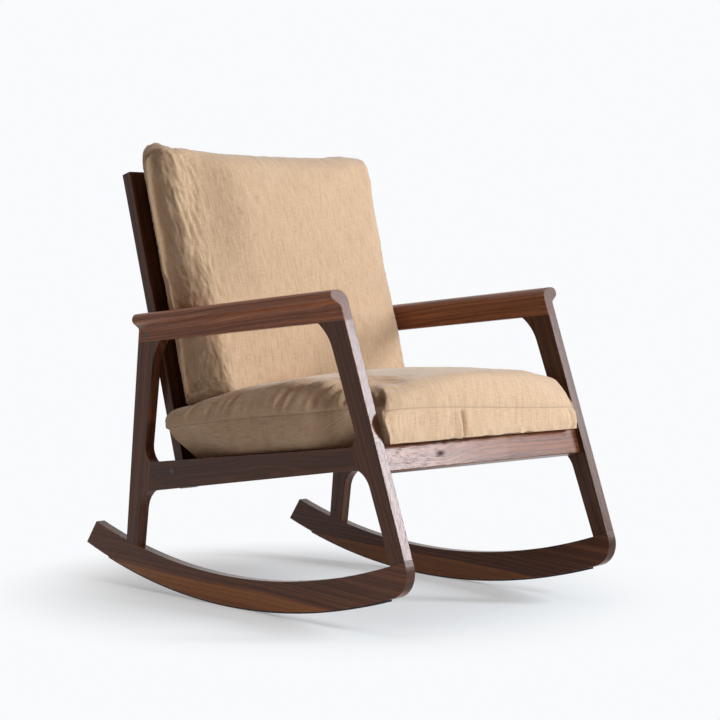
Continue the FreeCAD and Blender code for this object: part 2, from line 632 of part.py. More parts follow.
def seat_slat(start):
    low = SLAT_RECESS + SLAT_THICKNESS
    corners = [RAIL_TOP.at(start, low), RAIL_TOP.at(start + SLAT_WIDTH, low),
               RAIL_TOP.at(start + SLAT_WIDTH, SLAT_RECESS), RAIL_TOP.at(start, SLAT_RECESS)]
    reach = INNER - SLAT_END_CLEARANCE
    slat = polygon_plate(corners, -reach, reach)
    long_top = [e for e in slat.Edges if e.BoundBox.XLength > INNER]
    return slat.makeFillet(EDGE_EASING, long_top)


def seat_cleat():
    """The ledge along the inside of the left side rail that carries the slats."""
    high = SLAT_RECESS + SLAT_THICKNESS
    front = FRONT_LEG_FRONT.shifted(FRONT_RAIL_SETBACK + FRONT_RAIL_THICKNESS)
    rear = BACK_FRONT.shifted(-STILE_TO_RAIL - REAR_RAIL_THICKNESS)
    top = RAIL_TOP.shifted(high)
    bottom = RAIL_TOP.shifted(high + CLEAT_DEPTH)
    corners = [front.meet(top), rear.meet(top), rear.meet(bottom), front.meet(bottom)]
    return polygon_plate(corners, -INNER, -INNER + CLEAT_WIDTH)


def cleat_screws():
    """Screws through the left cleat into the side rail, in every other gap between slats."""
    starts = slat_starts()
    low = SLAT_RECESS + SLAT_THICKNESS + CLEAT_DEPTH / 2
    sizes = (SMALL_SCREW_HEAD_DIAMETER, SMALL_SCREW_HEAD_HEIGHT, SMALL_SCREW_DIAMETER, CLEAT_SCREW_LENGTH)
    outward = Vector(-1, 0, 0)
    screws = []
    holes = []
    for start, following in list(zip(starts, starts[1:]))[::2]:
        spot = vec(RAIL_TOP.at((start + SLAT_WIDTH + following) / 2, low), -INNER + CLEAT_WIDTH)
        screws.append(screw(spot, outward, *sizes))
        holes.append(screw(spot, outward, *sizes, clearance=JOINT_CLEARANCE, spare=END_DEPTH_CLEARANCE))
    return screws, holes


def slat_screws():
    """A screw down through the left end of each slat into the cleat, and their holes."""
    down = Vector(0, RAIL_TOP.normal[0], RAIL_TOP.normal[1])
    sizes = (SMALL_SCREW_HEAD_DIAMETER, SMALL_SCREW_HEAD_HEIGHT, SMALL_SCREW_DIAMETER, SLAT_SCREW_LENGTH)
    screws = []
    holes = []
    for start in slat_starts():
        spot = vec(RAIL_TOP.at(start + SLAT_WIDTH / 2, SLAT_RECESS), -INNER + CLEAT_WIDTH / 2)
        screws.append(screw(spot, down, *sizes))
        holes.append(screw(spot, down, *sizes, clearance=JOINT_CLEARANCE, spare=END_DEPTH_CLEARANCE))
    return screws, holes


# ---------------------------------------------------------------- back
BACK_AT_SEAT = BACK_FRONT.place(BACK_FRONT.meet(RAIL_TOP))[0]
BACK_START = BACK_AT_SEAT - BACK_BELOW_SEAT
BACK_END = BACK_FRONT.place(BACK_FRONT.meet(Line((0, BACK_TOP_HEIGHT), (1, 0))))[0]


def back_bar(low, high, thickness, x_start, x_end):
    """A block lying in the back, between two distances up it, in the middle of the stiles' depth."""
    near = (BACK_STILE_DEPTH - thickness) / 2
    far = near + thickness
    corners = [BACK_FRONT.at(low, near), BACK_FRONT.at(high, near),
               BACK_FRONT.at(high, far), BACK_FRONT.at(low, far)]
    return polygon_plate(corners, x_start, x_end)


def back_stile():
    """The left stile, square at both ends."""
    stile = back_bar(BACK_START, BACK_END, BACK_STILE_DEPTH, -INNER, -INNER + BACK_STILE_WIDTH)
    return ease_long_edges(stile, BACK_END - BACK_START)


def back_rail(low, high, thickness):
    """A rail or a slat between the stiles, tenoned into both, and the mortise for its left end."""
    reach = INNER - BACK_STILE_WIDTH
    body = ease_long_edges(back_bar(low, high, thickness, -reach, reach), 2 * reach)
    shoulder = BACK_TENON_SHOULDER
    cheek = thickness * (1 - BACK_TENON_SHARE) / 2
    tenon_reach = reach + BACK_TENON_LENGTH
    tenons = back_bar(low + shoulder, high - shoulder, thickness - 2 * cheek, -tenon_reach, tenon_reach)
    fit = JOINT_CLEARANCE
    mortise = back_bar(low + shoulder - fit, high - shoulder + fit, thickness - 2 * cheek + 2 * fit,
                       -tenon_reach - END_DEPTH_CLEARANCE, -reach + OVERCUT)
    return one_solid(body.fuse(tenons)), mortise


def back_rails():
    """The top rail, the bottom rail and the slats between them, by name, and all the mortises."""
    found = {}
    mortises = []
    top_low = BACK_END - BACK_TOP_RAIL_WIDTH
    bottom_low = BACK_START + BACK_TENON_SHOULDER
    bottom_high = bottom_low + BACK_BOTTOM_RAIL_WIDTH
    gap = (top_low - bottom_high - BACK_SLAT_COUNT * BACK_SLAT_WIDTH) / (BACK_SLAT_COUNT + 1)
    bars = [("back_top_rail", top_low, BACK_END, BACK_RAIL_THICKNESS),
            ("back_bottom_rail", bottom_low, bottom_high, BACK_RAIL_THICKNESS)]
    for i in range(BACK_SLAT_COUNT):
        low = bottom_high + gap + i * (BACK_SLAT_WIDTH + gap)
        bars.append(("back_slat_%d" % (i + 1), low, low + BACK_SLAT_WIDTH, BACK_SLAT_THICKNESS))
    for name, low, high, thickness in bars:
        found[name], mortise = back_rail(low, high, thickness)
        mortises.append(mortise)
    return found, mortises


# ---------------------------------------------------------------- cushions
def bend_inset(inset, height):
    """How far in from the seam a side's arc is at its middle.

    The arc stands upright at the seam, and runs in by inset over height.
    """
    radius = (inset ** 2 + height ** 2) / (2 * inset)
    half_turn = math.asin(height / radius) / 2
    return radius * (1 - math.cos(half_turn)), radius * math.sin(half_turn)


def pillow_outline(start, end, edge, thickness, underside, crown, point):
    """A cushion's section: flat underside, seams at the edge height, and a crowned top.

    point(distance, height) places a point of the section in space.
    """
    tuck = edge * CUSHION_TUCK
    shoulder = (thickness - edge) * CUSHION_SHOULDER
    top = underside + thickness
    seam = underside + edge
    low_in, low_drop = bend_inset(tuck, edge)
    high_in, high_rise = bend_inset(shoulder, thickness - crown - edge)
    middle = (start + end) / 2

    def bow(*pairs):
        return Part.Arc(*[point(*pair) for pair in pairs]).toShape()

    return [
        Part.LineSegment(point(start + tuck, underside), point(end - tuck, underside)).toShape(),
        bow((end - tuck, underside), (end - low_in, seam - low_drop), (end, seam)),
        bow((end, seam), (end - high_in, seam + high_rise), (end - shoulder, top - crown)),
        bow((end - shoulder, top - crown), (middle, top), (start + shoulder, top - crown)),
        bow((start + shoulder, top - crown), (start + high_in, seam + high_rise), (start, seam)),
        bow((start, seam), (start + low_in, seam - low_drop), (start + tuck, underside)),
    ]


def pillow(line, start, end, half_width, edge, thickness, underside, crown, corner, side):
    """A closed cushion on a line: where its lengthwise and crosswise sections overlap.

    side is -1 where the cushion lies on the side of the line against its normal.
    The sections run past each other, and so does the block that rounds the corners in plan.
    """
    past = corner / 4

    def lengthwise(distance, height):
        return vec(line.at(distance, side * height), -half_width - past)

    def crosswise(across, height):
        return vec(line.at(start - past, side * height), across)

    along = Vector(0, line.along[0], line.along[1])
    width = 2 * (half_width + past)
    length = end - start + 2 * past
    lying = Part.Face(Part.Wire(pillow_outline(start, end, edge, thickness, underside, crown, lengthwise)))
    lying = lying.extrude(Vector(width, 0, 0))
    across = Part.Face(Part.Wire(pillow_outline(-half_width, half_width, edge, thickness, underside,
                                                crown, crosswise)))
    across = across.extrude(along * length)
    plan = Part.makeBox(width, length, 2 * thickness)
    upright = [e for e in plan.Edges if abs(e.BoundBox.ZLength - 2 * thickness) < TOUCHING]
    plan = plan.makeFillet(corner + past, upright)
    up = Vector(0, side * line.normal[0], side * line.normal[1])
    base = vec(line.at(start - past, -side * thickness / 2), -half_width - past)
    axes = FreeCAD.Matrix(1, 0, 0, base.x, 0, along.y, up.y, base.y, 0, along.z, up.z, base.z, 0, 0, 0, 1)
    plan.transformShape(axes)
    return one_solid(lying.common(across).common(plan))


def seat_cushion():
    """Lies on the slats, between the side frames, from the front rail to the back stiles."""
    seam_line = RAIL_TOP.shifted(-SEAT_CUSHION_EDGE)
    rear = RAIL_TOP.place(BACK_FRONT.shifted(-CUSHION_REAR_CLEARANCE).meet(seam_line))[0]
    front = RAIL_TOP.place(FRONT_LEG_FRONT.shifted(FRONT_RAIL_SETBACK).meet(RAIL_TOP))[0]
    return pillow(RAIL_TOP, front - SEAT_CUSHION_OVERHANG, rear, INNER - CUSHION_SIDE_CLEARANCE,
                  SEAT_CUSHION_EDGE, SEAT_CUSHION_THICKNESS - CUSHION_CLEARANCE, CUSHION_CLEARANCE,
                  SEAT_CUSHION_CROWN, CUSHION_CORNER_RADIUS, -1)


def back_cushion():
    """Leans on the back and stands on the seat cushion, which flattens its lower edge."""
    low = BACK_AT_SEAT + BACK_CUSHION_LIFT
    whole = pillow(BACK_FRONT, low, low + BACK_CUSHION_HEIGHT, INNER - CUSHION_SIDE_CLEARANCE,
                   BACK_CUSHION_THICKNESS / 2, BACK_CUSHION_THICKNESS - CUSHION_CLEARANCE,
                   CUSHION_CLEARANCE, BACK_CUSHION_CROWN, CUSHION_CORNER_RADIUS, -1)
    rest = RAIL_TOP.shifted(-SEAT_CUSHION_THICKNESS - CUSHION_CLEARANCE)
    below = polygon_plate([rest.at(-FAR), rest.at(FAR), rest.at(FAR, FAR), rest.at(-FAR, FAR)], -HALF, HALF)
    return one_solid(whole.cut(below))


# ---------------------------------------------------------------- assembly
def mirrored(shape):
    return shape.mirror(Vector(0, 0, 0), Vector(1, 0, 0))


def group(solids):
    return Part.makeCompound(solids)


def pierced(shape, holes):
    """The shape without the holes that reach it."""
    near = [h for h in holes if h.BoundBox.intersect(shape.BoundBox)]
    if not near:
        return shape
    return one_solid(shape.cut(near))


def build():
    """Every piece of the chair by node name."""
    frame = side_frame_pieces()
    frame_rods, frame_holes = side_frame_dowels()
    rail_rods, rail_holes = rail_dowels()
    screws, plugs, screw_holes = back_screws()
    cleat_rods, cleat_holes = cleat_screws()
    slat_rods, slat_holes = slat_screws()
    rails, mortises = back_rails()

    left = {}
    for name in ("arm", "front_leg", "rear_leg", "side_rail", "runner"):
        left[name] = pierced(frame[name], frame_holes + rail_holes + screw_holes + cleat_holes)
    left["runner_strip"] = runner_strip()
    left["seat_cleat"] = pierced(seat_cleat(), cleat_holes + slat_holes)
    left["back_stile"] = pierced(back_stile(), mortises + screw_holes)
    left["frame_dowels"] = group(frame_rods)
    left["back_screws"] = group(screws)
    left["screw_plugs"] = group(plugs)

    parts = {}
    for name, shape in left.items():
        parts["left_" + name] = shape
        parts["right_" + name] = mirrored(shape)
    both_rail_holes = rail_holes + [mirrored(h) for h in rail_holes]
    parts["front_rail"] = pierced(front_rail(), both_rail_holes)
    parts["rear_rail"] = pierced(rear_rail(), both_rail_holes)
    parts["rail_dowels"] = group(rail_rods + [mirrored(r) for r in rail_rods])
    both_slat_holes = slat_holes + [mirrored(h) for h in slat_holes]
    for i, start in enumerate(slat_starts()):
        parts["seat_slat_%d" % (i + 1)] = pierced(seat_slat(start), both_slat_holes)
    parts["slat_screws"] = group(slat_rods + [mirrored(r) for r in slat_rods])
    parts["cleat_screws"] = group(cleat_rods + [mirrored(r) for r in cleat_rods])
    parts.update(rails)
    parts["seat_cushion"] = seat_cushion()
    parts["back_cushion"] = back_cushion()
    return parts


def main():
    parts = build()
    box = Part.makeCompound(list(parts.values())).optimalBoundingBox(False, False)
    shift = Vector(0, -(box.YMin + box.YMax) / 2, 0)
    os.makedirs("parts", exist_ok=True)
    for name, shape in parts.items():
        shape = shape.copy()
        shape.translate(shift)
        if not shape.isValid() or not shape.Solids:
            raise ValueError(name + " is not a valid solid")
        shape.exportStep("parts/%s.step" % name)
    print("moved along Y by %.4f" % shift.y)
    print("box %.2f x %.2f x %.2f from z %.3f" % (box.XLength, box.YLength, box.ZLength, box.ZMin))


main()
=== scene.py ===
"""Finishes a wooden rocking chair: oiled walnut, black strips, and two stuffed linen cushions."""
import json
import math

import bmesh
import bpy
import numpy as np
from bpy.props import FloatProperty, FloatVectorProperty, IntProperty, PointerProperty
from mathutils import Matrix, Vector, noise
from mathutils.bvhtree import BVHTree


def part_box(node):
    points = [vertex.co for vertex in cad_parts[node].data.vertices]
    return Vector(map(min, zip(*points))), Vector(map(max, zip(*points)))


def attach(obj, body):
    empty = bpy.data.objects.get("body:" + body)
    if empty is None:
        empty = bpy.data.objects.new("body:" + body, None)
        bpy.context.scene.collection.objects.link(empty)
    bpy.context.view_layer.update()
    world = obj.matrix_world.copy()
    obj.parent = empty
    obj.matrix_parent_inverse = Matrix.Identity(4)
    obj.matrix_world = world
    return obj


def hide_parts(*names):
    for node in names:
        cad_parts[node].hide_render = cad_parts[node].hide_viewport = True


bl_info = {
    "name": "Rocking Chair Finishes",
    "version": (1, 0, 0),
    "blender": (4, 5, 0),
    "location": "3D View > Sidebar > Rocking Chair",
    "description": "Gives a rocking chair its walnut, its strips and its two linen cushions",
    "category": "Object",
}

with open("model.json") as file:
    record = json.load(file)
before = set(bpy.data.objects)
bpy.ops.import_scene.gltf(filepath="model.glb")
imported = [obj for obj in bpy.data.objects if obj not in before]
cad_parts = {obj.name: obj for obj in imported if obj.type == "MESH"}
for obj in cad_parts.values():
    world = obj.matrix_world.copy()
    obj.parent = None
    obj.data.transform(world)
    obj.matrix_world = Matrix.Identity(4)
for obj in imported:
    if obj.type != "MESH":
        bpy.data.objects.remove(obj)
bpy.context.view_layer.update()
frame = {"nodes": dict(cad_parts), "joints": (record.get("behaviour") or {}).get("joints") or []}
NODES = frame["nodes"]
SIDES = ("left", "right")
ACROSS = Vector((1.0, 0.0, 0.0))

# gaps that stay open round the cushions, and how far the cloth sags, in metres
SEAT_GAP = 0.0006           # over the rails and the slats
FRAME_GAP = 0.0015          # beside the arms and in front of the stiles
CUSHION_GAP = 0.002         # between the two cushions
FILLING_GAP = 0.001         # over the rails and the stiles, before the folds are worked in
SLAT_SAG = 0.005            # the seat's cloth between two slats
SLAT_SHOULDER = 0.006       # from a slat's edge to where that sag is full


# ---------------------------------------------------------------- steps, bells and waves
def between(value, low, high):
    """0 below low, 1 above high, smooth between."""
    share = np.clip((value - low) / (high - low), 0, 1)
    return share * share * (3 - 2 * share)


def band(value, start, full, fade, gone):
    """0 up to start, 1 from full to fade and 0 again from gone on, smooth between."""
    return between(value, start, full) * (1 - between(value, fade, gone))


def bell(value, peak, width):
    """1 at the peak, fading smoothly to nothing about two widths away on both sides."""
    return np.exp(-((value - peak) / width) ** 2)


def ripple(x, y, z=0.0):
    """A smooth random wave from -1 to 1; each of x, y and z is one number, or one for each point."""
    return np.array([noise.noise(Vector(place)) for place in np.broadcast(x, y, z)])


# ---------------------------------------------------------------- what the frame says
def table(items, name):
    """One vector of each item in a Blender collection, one row each."""
    found = np.empty(len(items) * 3)
    items.foreach_get(name, found)
    return found.reshape(-1, 3)


def reach(node, direction):
    """How far a CAD node reaches along a direction, from the origin."""
    return float((table(NODES[node].data.vertices, "co") @ np.array(direction)).max())


def middle(node):
    """The middle of a CAD node's box."""
    low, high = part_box(node)
    return (low + high) / 2


def longest_way(node):
    """The direction in which a node is longest: a board's grain runs along it."""
    found = table(NODES[node].data.vertices, "co")
    spread = np.linalg.svd(found - found.mean(axis=0), full_matrices=False)[2][0]
    return Vector(spread) * (1.0 if spread[np.abs(spread).argmax()] > 0 else -1.0)


BACK_UP = Vector(next(j["axis"] for j in frame["joints"] if j["name"] == "back_cushion_lift")).normalized()
BACK_OUT = ACROSS.cross(BACK_UP)                      # from the back towards the sitter
SEAT_BACK = (middle("seat_slat_7") - middle("seat_slat_1")).normalized()
SEAT_UP = ACROSS.cross(SEAT_BACK)
RUNNER_GRAIN = Vector((0.0, 1.0, 0.035)).normalized()


def between_slats(along):
    """1 inside a gap between two seat slats and 0 over a slat, for distances along SEAT_BACK."""
    names = [node for node in NODES if node.startswith("seat_slat_")]
    slats = sorted((-reach(node, -SEAT_BACK), reach(node, SEAT_BACK)) for node in names)
    gap = np.zeros(along.shape)
    for (_, start), (stop, _) in zip(slats, slats[1:]):
        gap = np.maximum(gap, np.minimum(along - start, stop - along))
    return between(gap, 0.0, SLAT_SHOULDER)


# ---------------------------------------------------------------- settings
class WoodSettings(bpy.types.PropertyGroup):
    """Colours and scale of the walnut"""
    dark: FloatVectorProperty(name="Dark", description="Colour of the late wood and the dark bands",
                              subtype="COLOR", size=3, min=0, max=1, default=(0.058, 0.019, 0.010))
    pale: FloatVectorProperty(name="Pale", description="Colour of the early wood",
                              subtype="COLOR", size=3, min=0, max=1, default=(0.290, 0.104, 0.046))
    sapwood: FloatVectorProperty(name="Sapwood", description="Colour of the sapwood at the edge of the log",
                                 subtype="COLOR", size=3, min=0, max=1, default=(0.540, 0.200, 0.055))
    ring: FloatProperty(name="Ring width", description="Mean width of a growth ring",
                        subtype="DISTANCE", unit="LENGTH", default=0.008)


class LinenSettings(bpy.types.PropertyGroup):
    """Colours and scale of the cushions' cloth"""
    warp: FloatVectorProperty(name="Warp", description="Colour of the threads that run up",
                              subtype="COLOR", size=3, min=0, max=1, default=(0.630, 0.418, 0.266))
    weft: FloatVectorProperty(name="Weft", description="Colour of the threads that run across",
                              subtype="COLOR", size=3, min=0, max=1, default=(0.540, 0.350, 0.214))
    pitch: FloatProperty(name="Thread pitch", description="From one thread to the next",
                         subtype="DISTANCE", unit="LENGTH", default=0.0013)
    seam_width: FloatProperty(name="Seam width", description="Width of the shaded line along a seam",
                              subtype="DISTANCE", unit="LENGTH", default=0.0018)


class CushionSettings(bpy.types.PropertyGroup):
    """Sizes of the two stuffed cushions"""
    pitch: FloatProperty(name="Mesh pitch", description="Size of a cushion's mesh cells before smoothing",
                         subtype="DISTANCE", unit="LENGTH", default=0.0068)
    pressure: FloatProperty(name="Pressure", description="How hard the filling presses on the cover",
                            default=5.0, min=0.0)
    slack: FloatProperty(name="Slack", description="How much too large the covers are cut",
                         subtype="FACTOR", default=0.02, min=0.0, max=0.2)
    frames: IntProperty(name="Frames", description="Simulated frames of filling", default=20, min=1)
    back_width: FloatProperty(name="Back width", description="Width of the back cushion at its seam",
                              subtype="DISTANCE", unit="LENGTH", default=0.616)
    back_height: FloatProperty(name="Back height", description="Height of the back cushion at its seam",
                               subtype="DISTANCE", unit="LENGTH", default=0.579)
    back_thickness: FloatProperty(name="Back thickness", description="Thickness of the filled back cushion",
                                  subtype="DISTANCE", unit="LENGTH", default=0.182)
    back_seam: FloatProperty(name="Back seam",
                             description="From the back of the back cushion to its side seams",
                             subtype="DISTANCE", unit="LENGTH", default=0.055)
    back_fall: FloatProperty(name="Back fall", description="How much thinner its front is near the edges",
                             subtype="DISTANCE", unit="LENGTH", default=0.016)
    seat_width: FloatProperty(name="Seat width",
                              description="Width of the seat cushion behind the front legs",
                              subtype="DISTANCE", unit="LENGTH", default=0.656)
    seat_front_width: FloatProperty(name="Seat front width",
                                    description="Width of the seat cushion between the front legs",
                                    subtype="DISTANCE", unit="LENGTH", default=0.590)
    seat_depth: FloatProperty(name="Seat depth", description="Depth of the seat cushion at its seam",
                              subtype="DISTANCE", unit="LENGTH", default=0.634)
    seat_seam: FloatProperty(name="Seat seam", description="Height of the seam above the rails",
                             subtype="DISTANCE", unit="LENGTH", default=0.050)
    seat_crown: FloatProperty(name="Seat crown", description="Height of the middle above the seam",
                              subtype="DISTANCE", unit="LENGTH", default=0.112)
    seat_fall: FloatProperty(name="Seat fall", description="How much lower the top is near the edges",
                             subtype="DISTANCE", unit="LENGTH", default=0.030)
    seat_gap: FloatProperty(name="Seat gap",
                            description="From the chair's middle to a front leg as it presses the cushion",
                            subtype="DISTANCE", unit="LENGTH", default=0.291)
    seat_front: FloatProperty(name="Seat front", description="From the CAD cushion's front to the front seam",
                              subtype="DISTANCE", unit="LENGTH", default=-0.008)


class StageSettings(bpy.types.PropertyGroup):
    """Camera, floor and lamps"""
    camera_place: FloatVectorProperty(name="Camera", description="Where the camera stands",
                                      subtype="TRANSLATION", unit="LENGTH", size=3,
                                      default=(-3.2383, -3.2350, 0.7755))
    azimuth: FloatProperty(name="Azimuth", description="Turn of the camera about the upright axis",
                           subtype="ANGLE", unit="ROTATION", default=math.radians(-45.373))
    dip: FloatProperty(name="Dip", description="How far the camera looks down",
                       subtype="ANGLE", unit="ROTATION", default=math.radians(3.360))
    roll: FloatProperty(name="Roll", description="Turn of the camera about its own view",
                        subtype="ANGLE", unit="ROTATION", default=math.radians(0.824))
    lens: FloatProperty(name="Lens", description="Focal length", unit="CAMERA", default=105.49)
    key_power: FloatProperty(name="Key lamp", description="Power of the lamp in front",
                             subtype="POWER", unit="POWER", default=164.0)
    side_power: FloatProperty(name="Side lamp", description="Power of the large soft lamp on the right",
                              subtype="POWER", unit="POWER", default=115.0)
    top_power: FloatProperty(name="Top lamp", description="Power of the lamp overhead",
                             subtype="POWER", unit="POWER", default=62.0)
    room_light: FloatProperty(name="Room light", description="Strength of the light from all round",
                              default=0.085, min=0.0)
    floor_glow: FloatProperty(name="Floor glow",
                              description="Share of the floor's look that shadows don't darken",
                              subtype="FACTOR", default=0.34, min=0.0, max=1.0)
    paper: FloatVectorProperty(name="Paper", description="Colour of the floor and the background",
                               subtype="COLOR", size=3, min=0, max=1, default=(0.95, 0.96, 0.975))


# ---------------------------------------------------------------- shader tools
def socket_group(name, inputs, outputs):
    """A new shader node group with named sockets, and its input and output nodes."""
    group = bpy.data.node_groups.new(name, "ShaderNodeTree")
    for label, kind, default in inputs:
        socket = group.interface.new_socket(name=label, in_out="INPUT", socket_type=kind)
        if default is not None:
            socket.default_value = default
    for label, kind in outputs:
        group.interface.new_socket(name=label, in_out="OUTPUT", socket_type=kind)
    return group, group.nodes.new("NodeGroupInput"), group.nodes.new("NodeGroupOutput")


class Wiring:
    """Adds nodes to a tree, with a short call for each kind that the finishes use.

    Wherever a call takes a value, it is a number or another node's socket.
    """

    def __init__(self, tree):
        self.tree = tree

    def add(self, kind, **settings):
        """A node of a kind, with its settings."""
        node = self.tree.nodes.new(kind)
        for key, value in settings.items():
            setattr(node, key, value)
        return node

    def join(self, source, target):
        """Links a socket to a target, or gives the target a plain value."""
        if isinstance(source, bpy.types.NodeSocket):
            self.tree.links.new(source, target)
        else:
            target.default_value = source

    def math(self, operation, *values):
        """A Math node."""
        node = self.add("ShaderNodeMath", operation=operation)
        for value, socket in zip(values, node.inputs):
            self.join(value, socket)
        return node.outputs[0]

    def times(self, first, *others):
        """The product of two values or more."""
        return self.math("MULTIPLY", first, self.times(*others) if len(others) > 1 else others[0])

    def plus(self, first, *others):
        """The sum of two values or more."""
        return self.math("ADD", first, self.plus(*others) if len(others) > 1 else others[0])

    def minus(self, value, less):
        """The first value less the second."""
        return self.math("SUBTRACT", value, less)

    def fade(self, value, rate):
        """1 where the value is 0, falling off like a bell, the faster the higher the rate."""
        return self.math("EXPONENT", self.times(self.math("POWER", value, 2.0), -rate))

    def vector_math(self, operation, *values):
        """A Vector Math node."""
        node = self.add("ShaderNodeVectorMath", operation=operation)
        for value, socket in zip(values, node.inputs):
            self.join(value, socket)
        return node.outputs["Value" if operation in ("LENGTH", "DISTANCE") else "Vector"]

    def split(self, vector):
        """The X, Y and Z of a vector."""
        node = self.add("ShaderNodeSeparateXYZ")
        self.join(vector, node.inputs[0])
        return node.outputs

    def combine(self, **parts):
        """A vector from its X, Y and Z, each 0 where it isn't given."""
        node = self.add("ShaderNodeCombineXYZ")
        for axis, value in parts.items():
            self.join(value, node.inputs[axis])
        return node.outputs[0]

    def cloud(self, vector, scale, detail=2.0, rough=0.5):
        """A Noise Texture's value."""
        node = self.add("ShaderNodeTexNoise")
        self.join(vector, node.inputs["Vector"])
        node.inputs["Scale"].default_value = scale
        node.inputs["Detail"].default_value = detail
        node.inputs["Roughness"].default_value = rough
        return node.outputs["Fac"]

    def streaks(self, vector, scales, detail=2.0, rough=0.5):
        """A Noise Texture's value, with its own scale along each axis."""
        return self.cloud(self.vector_math("MULTIPLY", vector, scales), 1.0, detail, rough)

    def remap(self, value, low, high, new_low=0.0, new_high=1.0):
        """A Map Range node that clamps, smooth at both ends."""
        node = self.add("ShaderNodeMapRange", interpolation_type="SMOOTHSTEP")
        for entry, socket in zip((value, low, high, new_low, new_high), node.inputs):
            self.join(entry, socket)
        return node.outputs[0]

    def blend(self, factor, first, second):
        """A colour Mix node."""
        node = self.add("ShaderNodeMix", data_type="RGBA")
        self.join(factor, node.inputs["Factor"])
        self.join(first, node.inputs["A"])
        self.join(second, node.inputs["B"])
        return node.outputs["Result"]

    def backdrop_rays(self):
        """1 where the backdrop's plain paper shows: to the camera, in gloss and through glass."""
        path = self.add("ShaderNodeLightPath").outputs
        seen = self.math("MAXIMUM", path["Is Glossy Ray"], path["Is Transmission Ray"])
        return self.math("MAXIMUM", path["Is Camera Ray"], seen)

    def mix_shaders(self, factor, first, second, surface):
        """Blends two shader nodes into an output's surface."""
        mix = self.add("ShaderNodeMixShader")
        self.join(factor, mix.inputs[0])
        self.join(first.outputs[0], mix.inputs[1])
        self.join(second.outputs[0], mix.inputs[2])
        self.join(mix.outputs[0], surface)


def opaque(colour):
    """A colour with its alpha."""
    return (colour[0], colour[1], colour[2], 1.0)


# ---------------------------------------------------------------- shared patterns
OPEN_PORE = (0.012, 0.005, 0.004, 1.0)
KNOT_HEART = (0.016, 0.015, 0.026, 1.0)
OILED_END = (0.030, 0.011, 0.008, 1.0)
PALE_SLUB = (0.72, 0.50, 0.32, 1.0)
THREAD_SHADE = (0.33, 0.175, 0.088, 1.0)
DARK_STREAK = (0.38, 0.215, 0.115, 1.0)
DARK_PATCH = (0.42, 0.25, 0.14, 1.0)
SEAM_SHADE = (0.14, 0.075, 0.040, 1.0)
OIL_TINT = (1.0, 0.85, 0.84, 1.0)
KNOT_STRETCH = (0.05, 0.45, 1.0)    # a knot goes far through the board and is long with the grain
NO_SAPWOOD = 9.0                    # metres from the pith, further out than any board is cut


